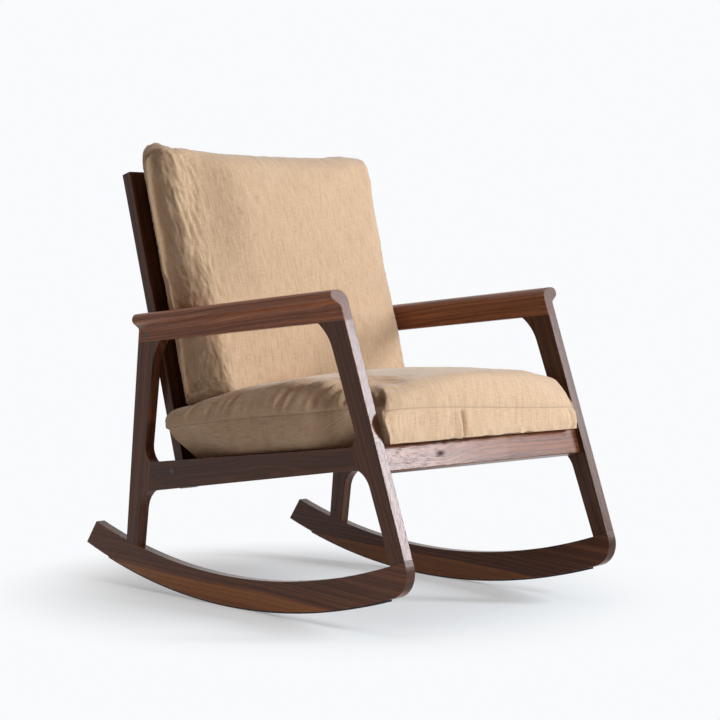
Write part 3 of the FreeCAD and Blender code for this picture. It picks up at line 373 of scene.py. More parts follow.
def walnut_group():
    """Growth rings round a pith, long fibres, short open pores, sapwood and a knot; grain runs along Y."""
    if "walnut grain" in bpy.data.node_groups:
        return bpy.data.node_groups["walnut grain"]
    wood = bpy.context.scene.chair_wood
    group, entry, result = socket_group("walnut grain", [
        ("Vector", "NodeSocketVector", None),
        ("Facing", "NodeSocketVector", None),
        ("Dark", "NodeSocketColor", opaque(wood.dark)),
        ("Pale", "NodeSocketColor", opaque(wood.pale)),
        ("Sapwood", "NodeSocketColor", opaque(wood.sapwood)),
        ("Rings per Metre", "NodeSocketFloat", 1.0 / wood.ring),
        ("Sapwood From", "NodeSocketFloat", NO_SAPWOOD),
        ("Wave", "NodeSocketFloat", 0.006),
        ("Knot", "NodeSocketVector", None),
        ("Knot Size", "NodeSocketFloat", 0.0),
    ], [("Color", "NodeSocketColor"), ("Roughness", "NodeSocketFloat"), ("Height", "NodeSocketFloat")])
    wire, given = Wiring(group), entry.outputs
    place = given["Vector"]
    through, _, width = wire.split(place)
    radius = wire.vector_math("LENGTH", wire.combine(X=through, Z=width))
    # the rings wander along the board, and swell round the knot
    sway = wire.minus(wire.streaks(place, (5.0, 2.2, 5.0), 1.5), 0.5)
    shiver = wire.minus(wire.streaks(place, (30.0, 7.0, 30.0)), 0.5)
    wander = wire.times(given["Wave"], wire.plus(wire.times(sway, 5.0), wire.times(shiver, 1.1)))
    gone = wire.vector_math("DISTANCE", wire.vector_math("MULTIPLY", place, KNOT_STRETCH),
                            wire.vector_math("MULTIPLY", given["Knot"], KNOT_STRETCH))
    near_knot = wire.math("DIVIDE", gone, wire.math("MAXIMUM", given["Knot Size"], 0.0001))
    swell = wire.times(wire.fade(near_knot, 0.16), given["Knot Size"], 1.6)
    ring_place = wire.plus(wire.plus(radius, wander), swell)
    ring_count = wire.times(ring_place, given["Rings per Metre"])
    uneven = wire.add("ShaderNodeTexNoise", noise_dimensions="1D")
    wire.join(ring_count, uneven.inputs["W"])
    uneven.inputs["Scale"].default_value = 0.7
    uneven.inputs["Detail"].default_value = 2.5
    uneven.inputs["Roughness"].default_value = 0.65
    band = wire.remap(uneven.outputs["Fac"], 0.32, 0.68)
    year = wire.math("FRACT", wire.plus(ring_count, wire.times(uneven.outputs["Fac"], 2.0)))
    late = wire.times(wire.math("POWER", year, 4.0), wire.remap(year, 0.93, 1.0, 1.0, 0.0))
    # fibres, strands of them, and open pores
    fibre = wire.streaks(place, (650.0, 7.0, 650.0), 3.0, 0.65)
    strand = wire.streaks(place, (150.0, 2.5, 150.0), 2.0, 0.6)
    pore = wire.remap(wire.streaks(place, (1100.0, 45.0, 1100.0), 1.0, 0.4), 0.60, 0.70)
    tone = wire.plus(wire.times(band, 0.50), wire.times(wire.remap(fibre, 0.3, 0.7), 0.22),
                     wire.times(wire.remap(strand, 0.3, 0.7), 0.36))
    colour = wire.blend(tone, given["Dark"], given["Pale"])
    # the sapwood starts at an uneven edge, and is streaked with the early wood's colour
    edge = wire.plus(ring_place, wire.times(wire.minus(strand, 0.5), 0.006))
    sap = wire.remap(edge, given["Sapwood From"], wire.plus(given["Sapwood From"], 0.007))
    pale_sap = wire.blend(wire.times(wire.minus(1.0, tone), 0.55), given["Sapwood"], given["Pale"])
    colour = wire.blend(sap, colour, pale_sap)
    line = wire.times(late, wire.minus(0.72, wire.times(sap, 0.40)))
    colour = wire.blend(line, colour, given["Dark"])
    colour = wire.blend(wire.times(pore, 0.60), colour, OPEN_PORE)
    heart = wire.fade(near_knot, 6.0)
    colour = wire.blend(heart, colour, KNOT_HEART)
    # end grain drinks more oil
    end = wire.remap(wire.math("ABSOLUTE", wire.split(given["Facing"])["Y"]), 0.62, 0.90)
    colour = wire.blend(wire.times(end, 0.72), colour, OILED_END)
    wire.join(colour, result.inputs["Color"])
    rough = wire.plus(0.17, wire.times(fibre, 0.12), wire.times(pore, 0.2))
    rough = wire.plus(rough, wire.times(heart, 0.5), wire.times(end, 0.10))
    wire.join(rough, result.inputs["Roughness"])
    height = wire.minus(wire.times(fibre, 0.35), wire.plus(pore, wire.times(late, 0.15)))
    wire.join(height, result.inputs["Height"])
    return group


def linen_group():
    """A plain weave of uneven threads; X and Y of the vector run along the cloth, in metres."""
    if "linen weave" in bpy.data.node_groups:
        return bpy.data.node_groups["linen weave"]
    linen = bpy.context.scene.chair_linen
    group, entry, result = socket_group("linen weave", [
        ("Vector", "NodeSocketVector", None),
        ("Warp", "NodeSocketColor", opaque(linen.warp)),
        ("Weft", "NodeSocketColor", opaque(linen.weft)),
        ("Threads per Metre", "NodeSocketFloat", 1.0 / linen.pitch),
        ("Seam Width", "NodeSocketFloat", linen.seam_width),
    ], [("Color", "NodeSocketColor"), ("Height", "NodeSocketFloat")])
    wire, given = Wiring(group), entry.outputs
    across, up, rim = wire.split(given["Vector"])
    cloth = wire.combine(X=across, Y=up)
    # warp and weft cross over and under, and both wander a little
    drift = wire.times(wire.minus(wire.cloud(cloth, 60.0), 0.5), 0.006)
    turns = wire.times(given["Threads per Metre"], math.pi)
    warp_wave = wire.math("SINE", wire.times(wire.plus(across, drift), turns))
    weft_wave = wire.math("SINE", wire.times(wire.plus(up, drift), turns))
    over = wire.remap(wire.times(warp_wave, weft_wave), -0.35, 0.35)
    # slubs are thick places in the threads
    warp_slub = wire.streaks(cloth, (620.0, 34.0, 1.0), 2.0, 0.6)
    weft_slub = wire.streaks(cloth, (42.0, 760.0, 1.0), 2.0, 0.6)
    slub = wire.plus(wire.times(warp_slub, 1.15), wire.times(weft_slub, 0.85))
    patch = wire.cloud(cloth, 14.0, 3.0, 0.6)
    streak = wire.streaks(cloth, (210.0, 20.0, 1.0), 3.0, 0.65)
    colour = wire.blend(over, given["Weft"], given["Warp"])
    for value, low, high, strength, tint in ((slub, 0.95, 1.35, 0.45, PALE_SLUB),
                                             (slub, 1.02, 0.70, 0.48, THREAD_SHADE),
                                             (streak, 0.42, 0.70, 0.30, DARK_STREAK),
                                             (patch, 0.35, 0.70, 0.14, DARK_PATCH)):
        colour = wire.blend(wire.remap(value, low, high, 0.0, strength), colour, tint)
    # painted shade along each seam, where the cloth is drawn into a crease
    seam = wire.remap(rim, 0.0, given["Seam Width"], 0.36, 0.0)
    wire.join(wire.blend(seam, colour, SEAM_SHADE), result.inputs["Color"])
    height = wire.plus(wire.times(over, 0.3), wire.times(slub, 0.6))
    wire.join(wire.plus(height, wire.times(streak, 2.2)), result.inputs["Height"])
    return group


# ---------------------------------------------------------------- materials and how they go on
def new_material(name, roughness=0.5):
    """A material with a Principled shader, and the wiring of its tree."""
    material = bpy.data.materials.new(name)
    material.use_nodes = True
    shader = material.node_tree.nodes["Principled BSDF"]
    shader.inputs["Roughness"].default_value = roughness
    return material, shader, Wiring(material.node_tree)


def add_bump(wire, shader, height, strength, distance):
    """Turns a height into relief on a shader."""
    bump = wire.add("ShaderNodeBump")
    bump.inputs["Strength"].default_value = strength
    bump.inputs["Distance"].default_value = distance
    wire.join(height, bump.inputs["Height"])
    wire.join(bump.outputs["Normal"], shader.inputs["Normal"])


def dress(node, material):
    """Puts one material on a CAD node."""
    mesh = NODES[node].data
    mesh.materials.clear()
    mesh.materials.append(material)


# ---------------------------------------------------------------- wooden pieces
def board_turn(along, flat):
    """The turn that brings a board's thickness to X, its length to Y and its width to Z."""
    width = flat.cross(along).normalized()
    return Matrix((along.cross(width).normalized(), along.normalized(), width))


def dress_board(node, along, flat, pith, lift=1.0, wave=0.006, sapwood=NO_SAPWOOD, ring=None,
                knot=None, knot_size=0.0, oil=0.24):
    """Dresses one board in oiled walnut, cut from the log so that its middle lies at a place from the pith.

    along and flat are the directions of its length and its thickness. The three numbers of that place
    are through the board's thickness, along it and over its width. A higher lift is a paler board, a
    higher wave has more wandering rings, and a higher oil has more gloss.
    """
    wood = bpy.context.scene.chair_wood
    material, shader, wire = new_material(node.replace("_", " ") + " walnut")
    turn = board_turn(along, flat)
    source = wire.add("ShaderNodeTexCoord")
    mapping = wire.add("ShaderNodeMapping")
    mapping.inputs["Rotation"].default_value = turn.to_euler()
    mapping.inputs["Location"].default_value = Vector(pith) - turn @ middle(node)
    wire.join(source.outputs["Object"], mapping.inputs["Vector"])
    grain = wire.add("ShaderNodeGroup", node_tree=walnut_group())
    wire.join(mapping.outputs["Vector"], grain.inputs["Vector"])
    facing = wire.add("ShaderNodeMapping", vector_type="VECTOR")
    facing.inputs["Rotation"].default_value = turn.to_euler()
    wire.join(source.outputs["Normal"], facing.inputs["Vector"])
    wire.join(facing.outputs["Vector"], grain.inputs["Facing"])
    for label, colour in (("Dark", wood.dark), ("Pale", wood.pale), ("Sapwood", wood.sapwood)):
        grain.inputs[label].default_value = opaque([min(1.0, c * lift) for c in colour])
    grain.inputs["Rings per Metre"].default_value = 1.0 / (ring or wood.ring)
    grain.inputs["Sapwood From"].default_value = sapwood
    grain.inputs["Wave"].default_value = wave
    if knot:
        grain.inputs["Knot"].default_value = turn @ (Vector(knot) - middle(node)) + Vector(pith)
        grain.inputs["Knot Size"].default_value = knot_size
    wire.join(grain.outputs["Color"], shader.inputs["Base Color"])
    wire.join(grain.outputs["Roughness"], shader.inputs["Roughness"])
    shader.inputs["Specular IOR Level"].default_value = oil
    shader.inputs["Specular Tint"].default_value = OIL_TINT
    add_bump(wire, shader, grain.outputs["Height"], strength=0.12, distance=0.0004)
    dress(node, material)


class CHAIR_OT_side_frames(bpy.types.Operator):
    """Gives the arms, legs, side rails and runners their walnut, each with its own grain"""
    bl_idname = "rocking_chair.side_frames"
    bl_label = "Side Frames"

    def execute(self, context):
        # each side comes from its own part of the log; the right one is also made darker, as painted shade
        # for the side frame that stands in shadow
        for side, twist, painted_shade in (("left", 0.0, 1.0), ("right", 0.021, 0.64)):
            boards = (
                # the arms are paler: partly their own tone, partly a painted highlight for the light on the
                # arm's bead
                ("arm", None, (0.050 + twist, 0.2, 0.085), dict(lift=1.85, wave=0.004, ring=0.007)),
                ("front_leg", None, (0.075 + twist, 0.5, 0.050), dict(lift=0.60, wave=0.004, ring=0.006)),
                ("rear_leg", None, (0.035 + twist, 0.9, 0.060), dict(lift=0.75, wave=0.006)),
                ("side_rail", None, (0.022, 0.1 + twist, 0.012), dict(lift=0.50, wave=0.009, ring=0.007)),
                # the runner's lower edge lies outside the heartwood
                ("runner", RUNNER_GRAIN, (0.030 + twist, 0.4, -0.250 - twist),
                 dict(lift=0.85, wave=0.003, sapwood=0.284 + twist, ring=0.010)),
            )
            for piece, grain, pith, cut in boards:
                node = side + "_" + piece
                cut["lift"] *= painted_shade
                dress_board(node, grain or longest_way(node), ACROSS, pith, **cut)
        return {"FINISHED"}


class CHAIR_OT_cross_rails(bpy.types.Operator):
    """Gives the front rail its wavy walnut with a knot, and the rear rail, slats and cleats plain boards"""
    bl_idname = "rocking_chair.cross_rails"
    bl_label = "Cross Rails and Seat Slats"

    def execute(self, context):
        knot = middle("front_rail") - ACROSS * 0.134
        dress_board("front_rail", ACROSS, BACK_OUT, (0.020, 0.4, 0.038), lift=0.98, wave=0.005,
                    ring=0.0050, knot=knot, knot_size=0.011, oil=0.19)
        dress_board("rear_rail", ACROSS, BACK_OUT, (0.050, 0.8, 0.030), lift=1.1)
        for number in range(1, 8):
            pith = (0.04, 0.23 * number, 0.02 + 0.017 * number)
            dress_board("seat_slat_%d" % number, ACROSS, SEAT_UP, pith, lift=1.4)
        for side in SIDES:
            dress_board(side + "_seat_cleat", SEAT_BACK, ACROSS, (0.05, 0.2, 0.03), lift=1.4)
        return {"FINISHED"}


class CHAIR_OT_back(bpy.types.Operator):
    """Gives the stiles, rails and slats of the back their walnut"""
    bl_idname = "rocking_chair.back"
    bl_label = "Back"

    def execute(self, context):
        # the stiles are darker than the other boards of the back: partly their own dark wood, partly painted
        # shade for their fronts in the cushion's shadow
        for side, shift in (("left", 0.0), ("right", 0.011)):
            pith = (0.05 + shift, 0.3 + shift, 0.04)
            dress_board(side + "_back_stile", BACK_UP, BACK_OUT, pith, lift=0.42, wave=0.004)
        rails = ["back_top_rail", "back_bottom_rail"] + ["back_slat_%d" % i for i in range(1, 5)]
        for number, node in enumerate(rails):
            dress_board(node, ACROSS, BACK_OUT, (0.03, 0.31 * number, 0.02 + 0.021 * number), wave=0.007)
        return {"FINISHED"}


# ---------------------------------------------------------------- small pieces
def black_rubber():
    """Matt rubber with fine pits and pale scuffs."""
    plain, scuffed = (0.010, 0.010, 0.011, 1.0), (0.045, 0.043, 0.042, 1.0)
    material, shader, wire = new_material("strip rubber")
    place = wire.add("ShaderNodeTexCoord").outputs["Object"]
    pits = wire.cloud(place, 900.0, 2.0, 0.6)
    scuffs = wire.remap(wire.streaks(place, (60.0, 12.0, 60.0), 3.0, 0.6), 0.52, 0.75)
    wire.join(wire.blend(wire.times(scuffs, 0.5), plain, scuffed), shader.inputs["Base Color"])
    wire.join(wire.remap(pits, 0.3, 0.7, 0.62, 0.85), shader.inputs["Roughness"])
    add_bump(wire, shader, pits, strength=0.3, distance=0.0003)
    return material


def dowel_beech():
    """Pale beech with short flecks along the dowel."""
    pale, flecked = (0.60, 0.42, 0.26, 1.0), (0.42, 0.27, 0.15, 1.0)
    material, shader, wire = new_material("dowel beech", 0.6)
    place = wire.add("ShaderNodeTexCoord").outputs["Object"]
    fleck = wire.streaks(place, (500.0, 120.0, 120.0))
    wire.join(wire.blend(wire.remap(fleck, 0.4, 0.7), pale, flecked), shader.inputs["Base Color"])
    add_bump(wire, shader, fleck, strength=0.2, distance=0.0003)
    return material


def zinc_screw():
    """Zinc plating, slightly clouded."""
    bright, hazy = (0.62, 0.62, 0.60, 1.0), (0.42, 0.43, 0.45, 1.0)
    material, shader, wire = new_material("zinc screw")
    shader.inputs["Metallic"].default_value = 1.0
    place = wire.add("ShaderNodeTexCoord").outputs["Object"]
    haze = wire.cloud(place, 300.0, 3.0, 0.6)
    wire.join(wire.blend(haze, bright, hazy), shader.inputs["Base Color"])
    wire.join(wire.remap(haze, 0.3, 0.7, 0.28, 0.48), shader.inputs["Roughness"])
    return material


def dark_plug():
    """End grain of a near-black plug, with rings and open pores."""
    early, late, hollow = (0.020, 0.016, 0.021, 1.0), (0.050, 0.036, 0.040, 1.0), (0.006, 0.005, 0.006, 1.0)
    material, shader, wire = new_material("dark plug", 0.42)
    place = wire.add("ShaderNodeTexCoord").outputs["Object"]
    pores = wire.remap(wire.cloud(place, 1500.0, 1.0, 0.4), 0.55, 0.68)
    rings = wire.streaks(place, (1.0, 90.0, 480.0))
    colour = wire.blend(wire.remap(rings, 0.35, 0.65), early, late)
    wire.join(wire.blend(wire.times(pores, 0.7), colour, hollow), shader.inputs["Base Color"])
    add_bump(wire, shader, pores, strength=-0.3, distance=0.0003)
    return material


class CHAIR_OT_small_pieces(bpy.types.Operator):
    """Finishes the rubber strips, dowels, screws and screw plugs"""
    bl_idname = "rocking_chair.small_pieces"
    bl_label = "Strips, Dowels, Screws and Plugs"

    def execute(self, context):
        rubber, beech, zinc, plug = black_rubber(), dowel_beech(), zinc_screw(), dark_plug()
        for side in SIDES:
            dress(side + "_runner_strip", rubber)
            dress(side + "_frame_dowels", beech)
            dress(side + "_back_screws", zinc)
            dress(side + "_screw_plugs", plug)
        dress("rail_dowels", beech)
        dress("slat_screws", zinc)
        dress("cleat_screws", zinc)
        return {"FINISHED"}


# ---------------------------------------------------------------- cushions: cloth, cover and filling
def linen(name):
    """The cushions' linen, which follows the cloth's own coordinates."""
    settings = bpy.context.scene.chair_linen
    material, shader, wire = new_material(name, 0.75)
    weave = wire.add("ShaderNodeGroup", node_tree=linen_group())
    cloth = wire.add("ShaderNodeAttribute", attribute_name="cloth")
    wire.join(cloth.outputs["Vector"], weave.inputs["Vector"])
    weave.inputs["Warp"].default_value = opaque(settings.warp)
    weave.inputs["Weft"].default_value = opaque(settings.weft)
    weave.inputs["Threads per Metre"].default_value = 1.0 / settings.pitch
    weave.inputs["Seam Width"].default_value = settings.seam_width
    wire.join(weave.outputs["Color"], shader.inputs["Base Color"])
    shader.inputs["Specular IOR Level"].default_value = 0.18
    shader.inputs["Sheen Weight"].default_value = 0.40
    shader.inputs["Sheen Roughness"].default_value = 0.50
    add_bump(wire, shader, weave.outputs["Height"], strength=0.60, distance=0.0007)
    return material


class Edge:
    """The section of a stuffed edge, from the seam over to where the sheet runs level."""

    def __init__(self, inset, rise, squareness=2.0):
        turn = np.linspace(0.0, math.pi / 2, 80)
        self.inward = inset * (1 - np.cos(turn) ** (2 / squareness))
        self.upward = rise * np.sin(turn) ** (2 / squareness)
        steps = np.hypot(np.diff(self.inward), np.diff(self.upward))
        self.along = np.concatenate(([0.0], np.cumsum(steps)))
        self.inset, self.rise, self.length = inset, rise, self.along[-1]

    def inward_at(self, along):
        """How far in from the seam a point lies that is this far along the cloth."""
        return np.interp(along, self.along, self.inward) + np.maximum(0.0, along - self.length)

    def height_at(self, along):
        """How far above the seam a point lies that is this far along the cloth."""
        return np.interp(along, self.along, self.upward)


class Cover:
    """A cushion's cover: two sheets sewn together round their rim, just before it is filled.

    X runs across, Y up from the bottom seam, and the first sheet faces +Z. Each point keeps its
    place in the cloth: across and up, from the nearest seam, from the side seam (negative on the
    left), from the end seam, and the sheet it lies on, 1 or -1.
    """
    CORNER_REACH = 0.07     # along both seams from a corner, where the corner is drawn in
    DIP_REACH = 0.2         # from the top seam, where the cover dips in the middle
    SQUARENESS = 6          # of the corners' level lines, seen from above; 2 would be round

    def __init__(self, half_width, height, edges, corner, dip, pitch):
        self.half_width, self.height, self.corner, self.dip = half_width, height, corner, dip
        widest = max(half_width(step / 20 * height) for step in range(21))
        longest = max(edge.length for edge in edges)
        self.width = 2 * widest
        self.first_edge = edges[0]
        columns = round(2 * (widest - self.first_edge.inset + longest) / pitch)
        rows = round((height - 2 * self.first_edge.inset + 2 * longest) / pitch)
        self.points, self.places, self.faces = [], [], []
        index = {}
        for sheet, edge in zip((1, -1), edges):
            for row in range(rows + 1):
                for column in range(columns + 1):
                    if sheet == -1 and (column in (0, columns) or row in (0, rows)):
                        index[sheet, column, row] = index[1, column, row]
                    else:
                        index[sheet, column, row] = len(self.points)
                        self.add_point(sheet, edge, column / columns, row / rows)
            for row in range(rows):
                for column in range(columns):
                    loop = [index[sheet, c, r] for c, r in ((column, row), (column + 1, row),
                                                            (column + 1, row + 1), (column, row + 1))]
                    self.faces.append(loop if sheet == 1 else loop[::-1])
        self.places = np.array(self.places)
        self.across, self.up, self.rim, self.side, self.end, self.sheet = self.places.T

    def cloth_height(self, edge):
        """How long the cloth is up the cushion, over both of its end edges."""
        return self.height - 2 * edge.inset + 2 * edge.length

    def near_corner(self, along):
        """1 at one end of a seam, and 0 from the corner's reach on."""
        return max(0.0, 1 - along / self.CORNER_REACH) ** 2

    def add_point(self, sheet, edge, u, v):
        """Adds one point of a sheet, at a share u across the cloth and v up it."""
        from_end = min(v, 1 - v) * self.cloth_height(edge)
        up = edge.inward_at(from_end) if v < 0.5 else self.height - edge.inward_at(from_end)
        half = self.half_width(up)
        from_side = min(u, 1 - u) * 2 * (half - edge.inset + edge.length)
        side = -1 if u < 0.5 else 1
        shares = [1 - edge.height_at(along) / edge.rise for along in (from_side, from_end)]
        fall = sum(share ** self.SQUARENESS for share in shares) ** (1 / self.SQUARENESS)
        near = self.near_corner(from_side) * self.near_corner(from_end)
        sag = self.dip * 4 * u * (1 - u) * max(0.0, 1 - from_end / self.DIP_REACH)
        self.points.append((side * (half - edge.inward_at(from_side) - self.corner * near),
                            up + (-sag - self.corner * near if v > 0.5 else self.corner * near),
                            sheet * (edge.rise * (1 - min(1.0, fall)))))
        self.places.append(((u - 0.5) * 2 * (half - self.first_edge.inset + self.first_edge.length),
                            v * self.cloth_height(self.first_edge),
                            min(from_side, from_end), side * from_side, from_end, sheet))

    def to_object(self, name):
        """The cover as an object in the scene."""
        mesh = bpy.data.meshes.new(name)
        mesh.from_pydata(self.points, [], self.faces)
        cushion = bpy.data.objects.new(name, mesh)
        bpy.context.scene.collection.objects.link(cushion)
        return cushion


class Press:
    """The boards and legs that hold a cover in shape while it is filled."""
    SKIN = 0.003            # how far off a stop the cloth stays

    def __init__(self):
        self.stops = []

    def add_stop(self, mesh, friction):
        """Adds something that the cloth can't pass."""
        stop = bpy.data.objects.new(mesh.name, mesh)
        bpy.context.scene.collection.objects.link(stop)
        stop.modifiers.new("Stop", "COLLISION")
        stop.collision.thickness_outer = self.SKIN
        stop.collision.thickness_inner = 0.05
        stop.collision.cloth_friction = friction
        self.stops.append(stop)
        return stop

    def add_board(self, cover, side, height, fall):
        """A board over one sheet, dished so that it stands lower by the fall near the cover's edges."""
        mesh = bpy.data.meshes.new("board")
        board = bmesh.new()
        bmesh.ops.create_grid(board, x_segments=20, y_segments=20, size=0.55)
        for corner in board.verts:
            x, y = corner.co.xy
            out = min(4.0, (x / (cover.width / 2)) ** 2 + (y / (cover.height / 2)) ** 2)
            corner.co = (x, y + cover.height / 2, side * (height + self.SKIN - fall * out))
        if side > 0:
            bmesh.ops.reverse_faces(board, faces=board.faces)
        board.to_mesh(mesh)
        board.free()
        self.add_stop(mesh, 2.0)

    def add_leg(self, side, outline, start, end, last_frame):
        """A leg that closes in from the side; outline is its four (up, thickness) corners."""
        mesh = bpy.data.meshes.new("leg")
        leg = bmesh.new()
        inner = [leg.verts.new((0.0, up, out)) for up, out in outline]
        outer = [leg.verts.new((side * 0.05, up, out)) for up, out in outline]
        leg.faces.new(inner)
        leg.faces.new(outer[::-1])
        for i in range(4):
            leg.faces.new((inner[i], outer[i], outer[i - 1], inner[i - 1]))
        bmesh.ops.recalc_face_normals(leg, faces=leg.faces)
        bmesh.ops.bevel(leg, geom=leg.edges[:], offset=0.006, segments=2, affect="EDGES")
        bmesh.ops.triangulate(leg, faces=leg.faces)
        leg.to_mesh(mesh)
        leg.free()
        stop = self.add_stop(mesh, 5.0)
        for frame_number, gap in ((1, start), (last_frame, end)):
            stop.location.x = side * gap
            stop.keyframe_insert("location", frame=frame_number)

    def take_away(self):
        """Removes the boards and legs."""
        for stop in self.stops:
            mesh = stop.data
            bpy.data.objects.remove(stop)
            bpy.data.meshes.remove(mesh)


def soften(points, mesh, share, rounds):
    """Moves points towards the middle of their neighbours, each by its share, to even out small crumples."""
    ends = np.empty(len(mesh.edges) * 2, dtype=np.int32)
    mesh.edges.foreach_get("vertices", ends)
    first, second = ends.reshape(-1, 2).T
    count = np.bincount(ends, minlength=len(points))[:, None]
    for _ in range(rounds):
        total = np.zeros_like(points)
        np.add.at(total, first, points[second])
        np.add.at(total, second, points[first])
        points += share[:, None] * (total / count - points)


def fill_cover(cushion, press, sizes):
    """Fills the cover with Blender's cloth under pressure, inside its press, and keeps the result."""
    modifier = cushion.modifiers.new("Filling", "CLOTH")
    cloth = modifier.settings
    cloth.quality = 5
    cloth.mass = 0.3
    cloth.tension_stiffness = cloth.compression_stiffness = 40.0
    cloth.shear_stiffness = 8.0
    cloth.bending_stiffness = 0.1
    cloth.shrink_min = -sizes.slack
    cloth.use_pressure = True
    cloth.uniform_pressure_force = sizes.pressure
    cloth.effector_weights.gravity = 0.0
    modifier.collision_settings.distance_min = 0.002
    modifier.collision_settings.use_self_collision = False
    modifier.point_cache.frame_start = 1
    modifier.point_cache.frame_end = sizes.frames
    for number in range(1, sizes.frames + 1):
        bpy.context.scene.frame_set(number)
    drawn = cushion.evaluated_get(bpy.context.evaluated_depsgraph_get())
    filled = bpy.data.meshes.new_from_object(drawn)
    cushion.modifiers.clear()
    cushion.data = filled
    press.take_away()
    bpy.context.scene.frame_set(1)


class Seating:
    """Where a cushion lies in the chair: its bottom seam's middle, and its own up and out."""

    def __init__(self, start, up, out):
        self.start, self.up, self.out = np.array(start), np.array(up), np.array(out)

    def to_chair(self, points):
        """Points given across, up and out of the cushion, in the chair's frame."""
        return self.start + points @ np.array((ACROSS, self.up, self.out))

    def slice_of_leg(self, level):
        """The front and rear edges of the front leg, up the seat from the start, at one level."""
        leg = BVHTree.FromObject(NODES["left_front_leg"], bpy.context.evaluated_depsgraph_get())
        line = Vector(self.start + self.out * level) + ACROSS * middle("left_front_leg").x
        way = Vector(self.up)
        front = leg.ray_cast(line - way, way)[0]
        rear = leg.ray_cast(line + way, -way)[0]
        return (front - line).dot(way), (rear - line).dot(way)


def set_cushion(cushion, points, cover, seating):
    """Puts a cushion's points into the chair, smooths it once, and keeps their places in the cloth."""
    mesh = cushion.data
    mesh.vertices.foreach_set("co", seating.to_chair(points).ravel())
    for name, columns in (("cloth", slice(0, 3)), ("edge", slice(3, 6))):
        places = np.ascontiguousarray(cover.places[:, columns])
        mesh.attributes.new(name, "FLOAT_VECTOR", "POINT").data.foreach_set("vector", places.ravel())
    mesh.update()
    smooth = cushion.modifiers.new("Smooth", "SUBSURF")
    smooth.levels = smooth.render_levels = 1
    drawn = cushion.evaluated_get(bpy.context.evaluated_depsgraph_get())
    cushion.data = bpy.data.meshes.new_from_object(drawn)
    cushion.modifiers.clear()
    bpy.data.meshes.remove(mesh)


def finish_cushion(cushion, node, material_name):
    """Dresses the cushion and ties it to its body."""
    mesh = cushion.data
    mesh.polygons.foreach_set("use_smooth", [True] * len(mesh.polygons))
    mesh.materials.clear()
    mesh.materials.append(linen(material_name))
    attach(cushion, node)
    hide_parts(node)


class Needlework:
    """Works folds, puckers and creases into a cushion, by the place of each point in its cloth."""

    def __init__(self, cushion):
        self.mesh = cushion.data
        self.points = table(self.mesh.vertices, "co")
        self.normals = table(self.mesh.vertices, "normal")
        self.across, self.up, self.rim = table(self.mesh.attributes["cloth"].data, "vector").T
        self.side, self.end, self.sheet = table(self.mesh.attributes["edge"].data, "vector").T
        self.lift = np.zeros(len(self.points))

    def wrinkles(self, across_size, up_size, seed, slant=0.0):
        """Sharp-backed ripples from -0.5 to 0.5, of a size across and up the cloth."""
        wave = ripple((self.across + slant * self.up) / across_size, self.up / up_size, seed)
        return 0.5 - np.minimum(1.0, np.abs(wave) * 2.6)

    def clouds(self, size, seed):
        """Soft rises and dents from -1 to 1."""
        return ripple(self.across / size, self.up / size, seed)

    def crease_below(self, across, width, depth):
        """A groove with one raised shoulder, down the front from the seam to the lower edge."""
        aside = self.across - across - 0.006 * np.sin(self.end * 50)
        front = (self.sheet < 0) * (self.up < 0.2) * band(self.end, 0.0, 0.008, 0.050, 0.075)
        shoulder, groove = bell(aside, -2.2 * width, 2 * width), bell(aside, 0.0, width)
        self.lift += depth * front * (0.6 * shoulder - 1.3 * groove)

    def sew_seam(self, depth, pucker):
        """Draws the seam in, and gathers the cloth beside it a little."""
        along = np.where(np.abs(self.side) < self.end, self.up, self.across)
        self.lift -= depth * bell(self.rim, 0.0, 0.003)
        self.lift += pucker * ripple(along / 0.011, 7.3, self.sheet) * bell(self.rim, 0.007, 0.008)

    def settle(self):
        """Moves each point by the lift gathered so far."""
        self.points += self.normals * self.lift[:, None]
        self.lift[:] = 0.0

    def shift(self, distance, way):
        """Moves each point its own distance along a way."""
        self.points += np.outer(distance, way)

    def stop_at(self, level, out, way):
        """Pushes points that lie deeper than a level, measured outwards, back to it along a way."""
        deep = np.maximum(0.0, level - self.points @ np.array(out))
        self.shift(deep / way.dot(out), way)

    def rest_on(self, below, out, way):
        """Lifts what has sunk into another cushion along a way, until it lies just off that one's top."""
        top = BVHTree.FromObject(below, bpy.context.evaluated_depsgraph_get())
        for i in range(len(self.points)):
            point = Vector(self.points[i])
            found = top.ray_cast(point + out * 0.2, -out, 0.4)[0]
            if found is not None:
                sunk = (found - point).dot(out) + CUSHION_GAP
                if sunk > 0:
                    self.points[i] = point + way * (sunk / way.dot(out))

    def finish(self):
        """Writes the points back to the cushion's mesh."""
        self.mesh.vertices.foreach_set("co", self.points.ravel())
        self.mesh.attributes.remove(self.mesh.attributes["edge"])
        self.mesh.update()


# ---------------------------------------------------------------- seat cushion
AHEAD = (0.08, 0.2)         # up the seat, where it passes from in front of the legs to behind them
INSIDE_RAILS = 0.292        # from the chair's middle to just inside the side rails
LAID_FLAT = 0.97            # how firmly the lower sheet is set in shape; 1 would leave it no crumples


def beside_seam(distance):
    """1 in a band near a seam, and 0 right at it and further in."""
    return band(distance, 0.0, 0.015, 0.06, 0.12)


def square_front(points, cover, sizes):
    """Stands the front's lower edge and its two ends square."""
    ahead = 1 - between(cover.up, *AHEAD)
    lower = LAID_FLAT * (cover.sheet < 0) * ahead
    points[:, 1] -= lower * beside_seam(cover.end) * (points[:, 1] - 0.002)
    # the right end stops a little short of the leg, and the left one stands out at its front edge
    short = 0.009 * ahead * between(cover.across, 0.18, 0.29)
    bulge = 0.011 * (1 - between(cover.up, 0.012, 0.034)) * (cover.across < 0)
    points[:, 0] -= short
    half = sizes.seat_front_width / 2 - 0.002 - short + bulge
    points[:, 0] += lower * beside_seam(np.abs(cover.side)) * (np.sign(cover.across) * half - points[:, 0])


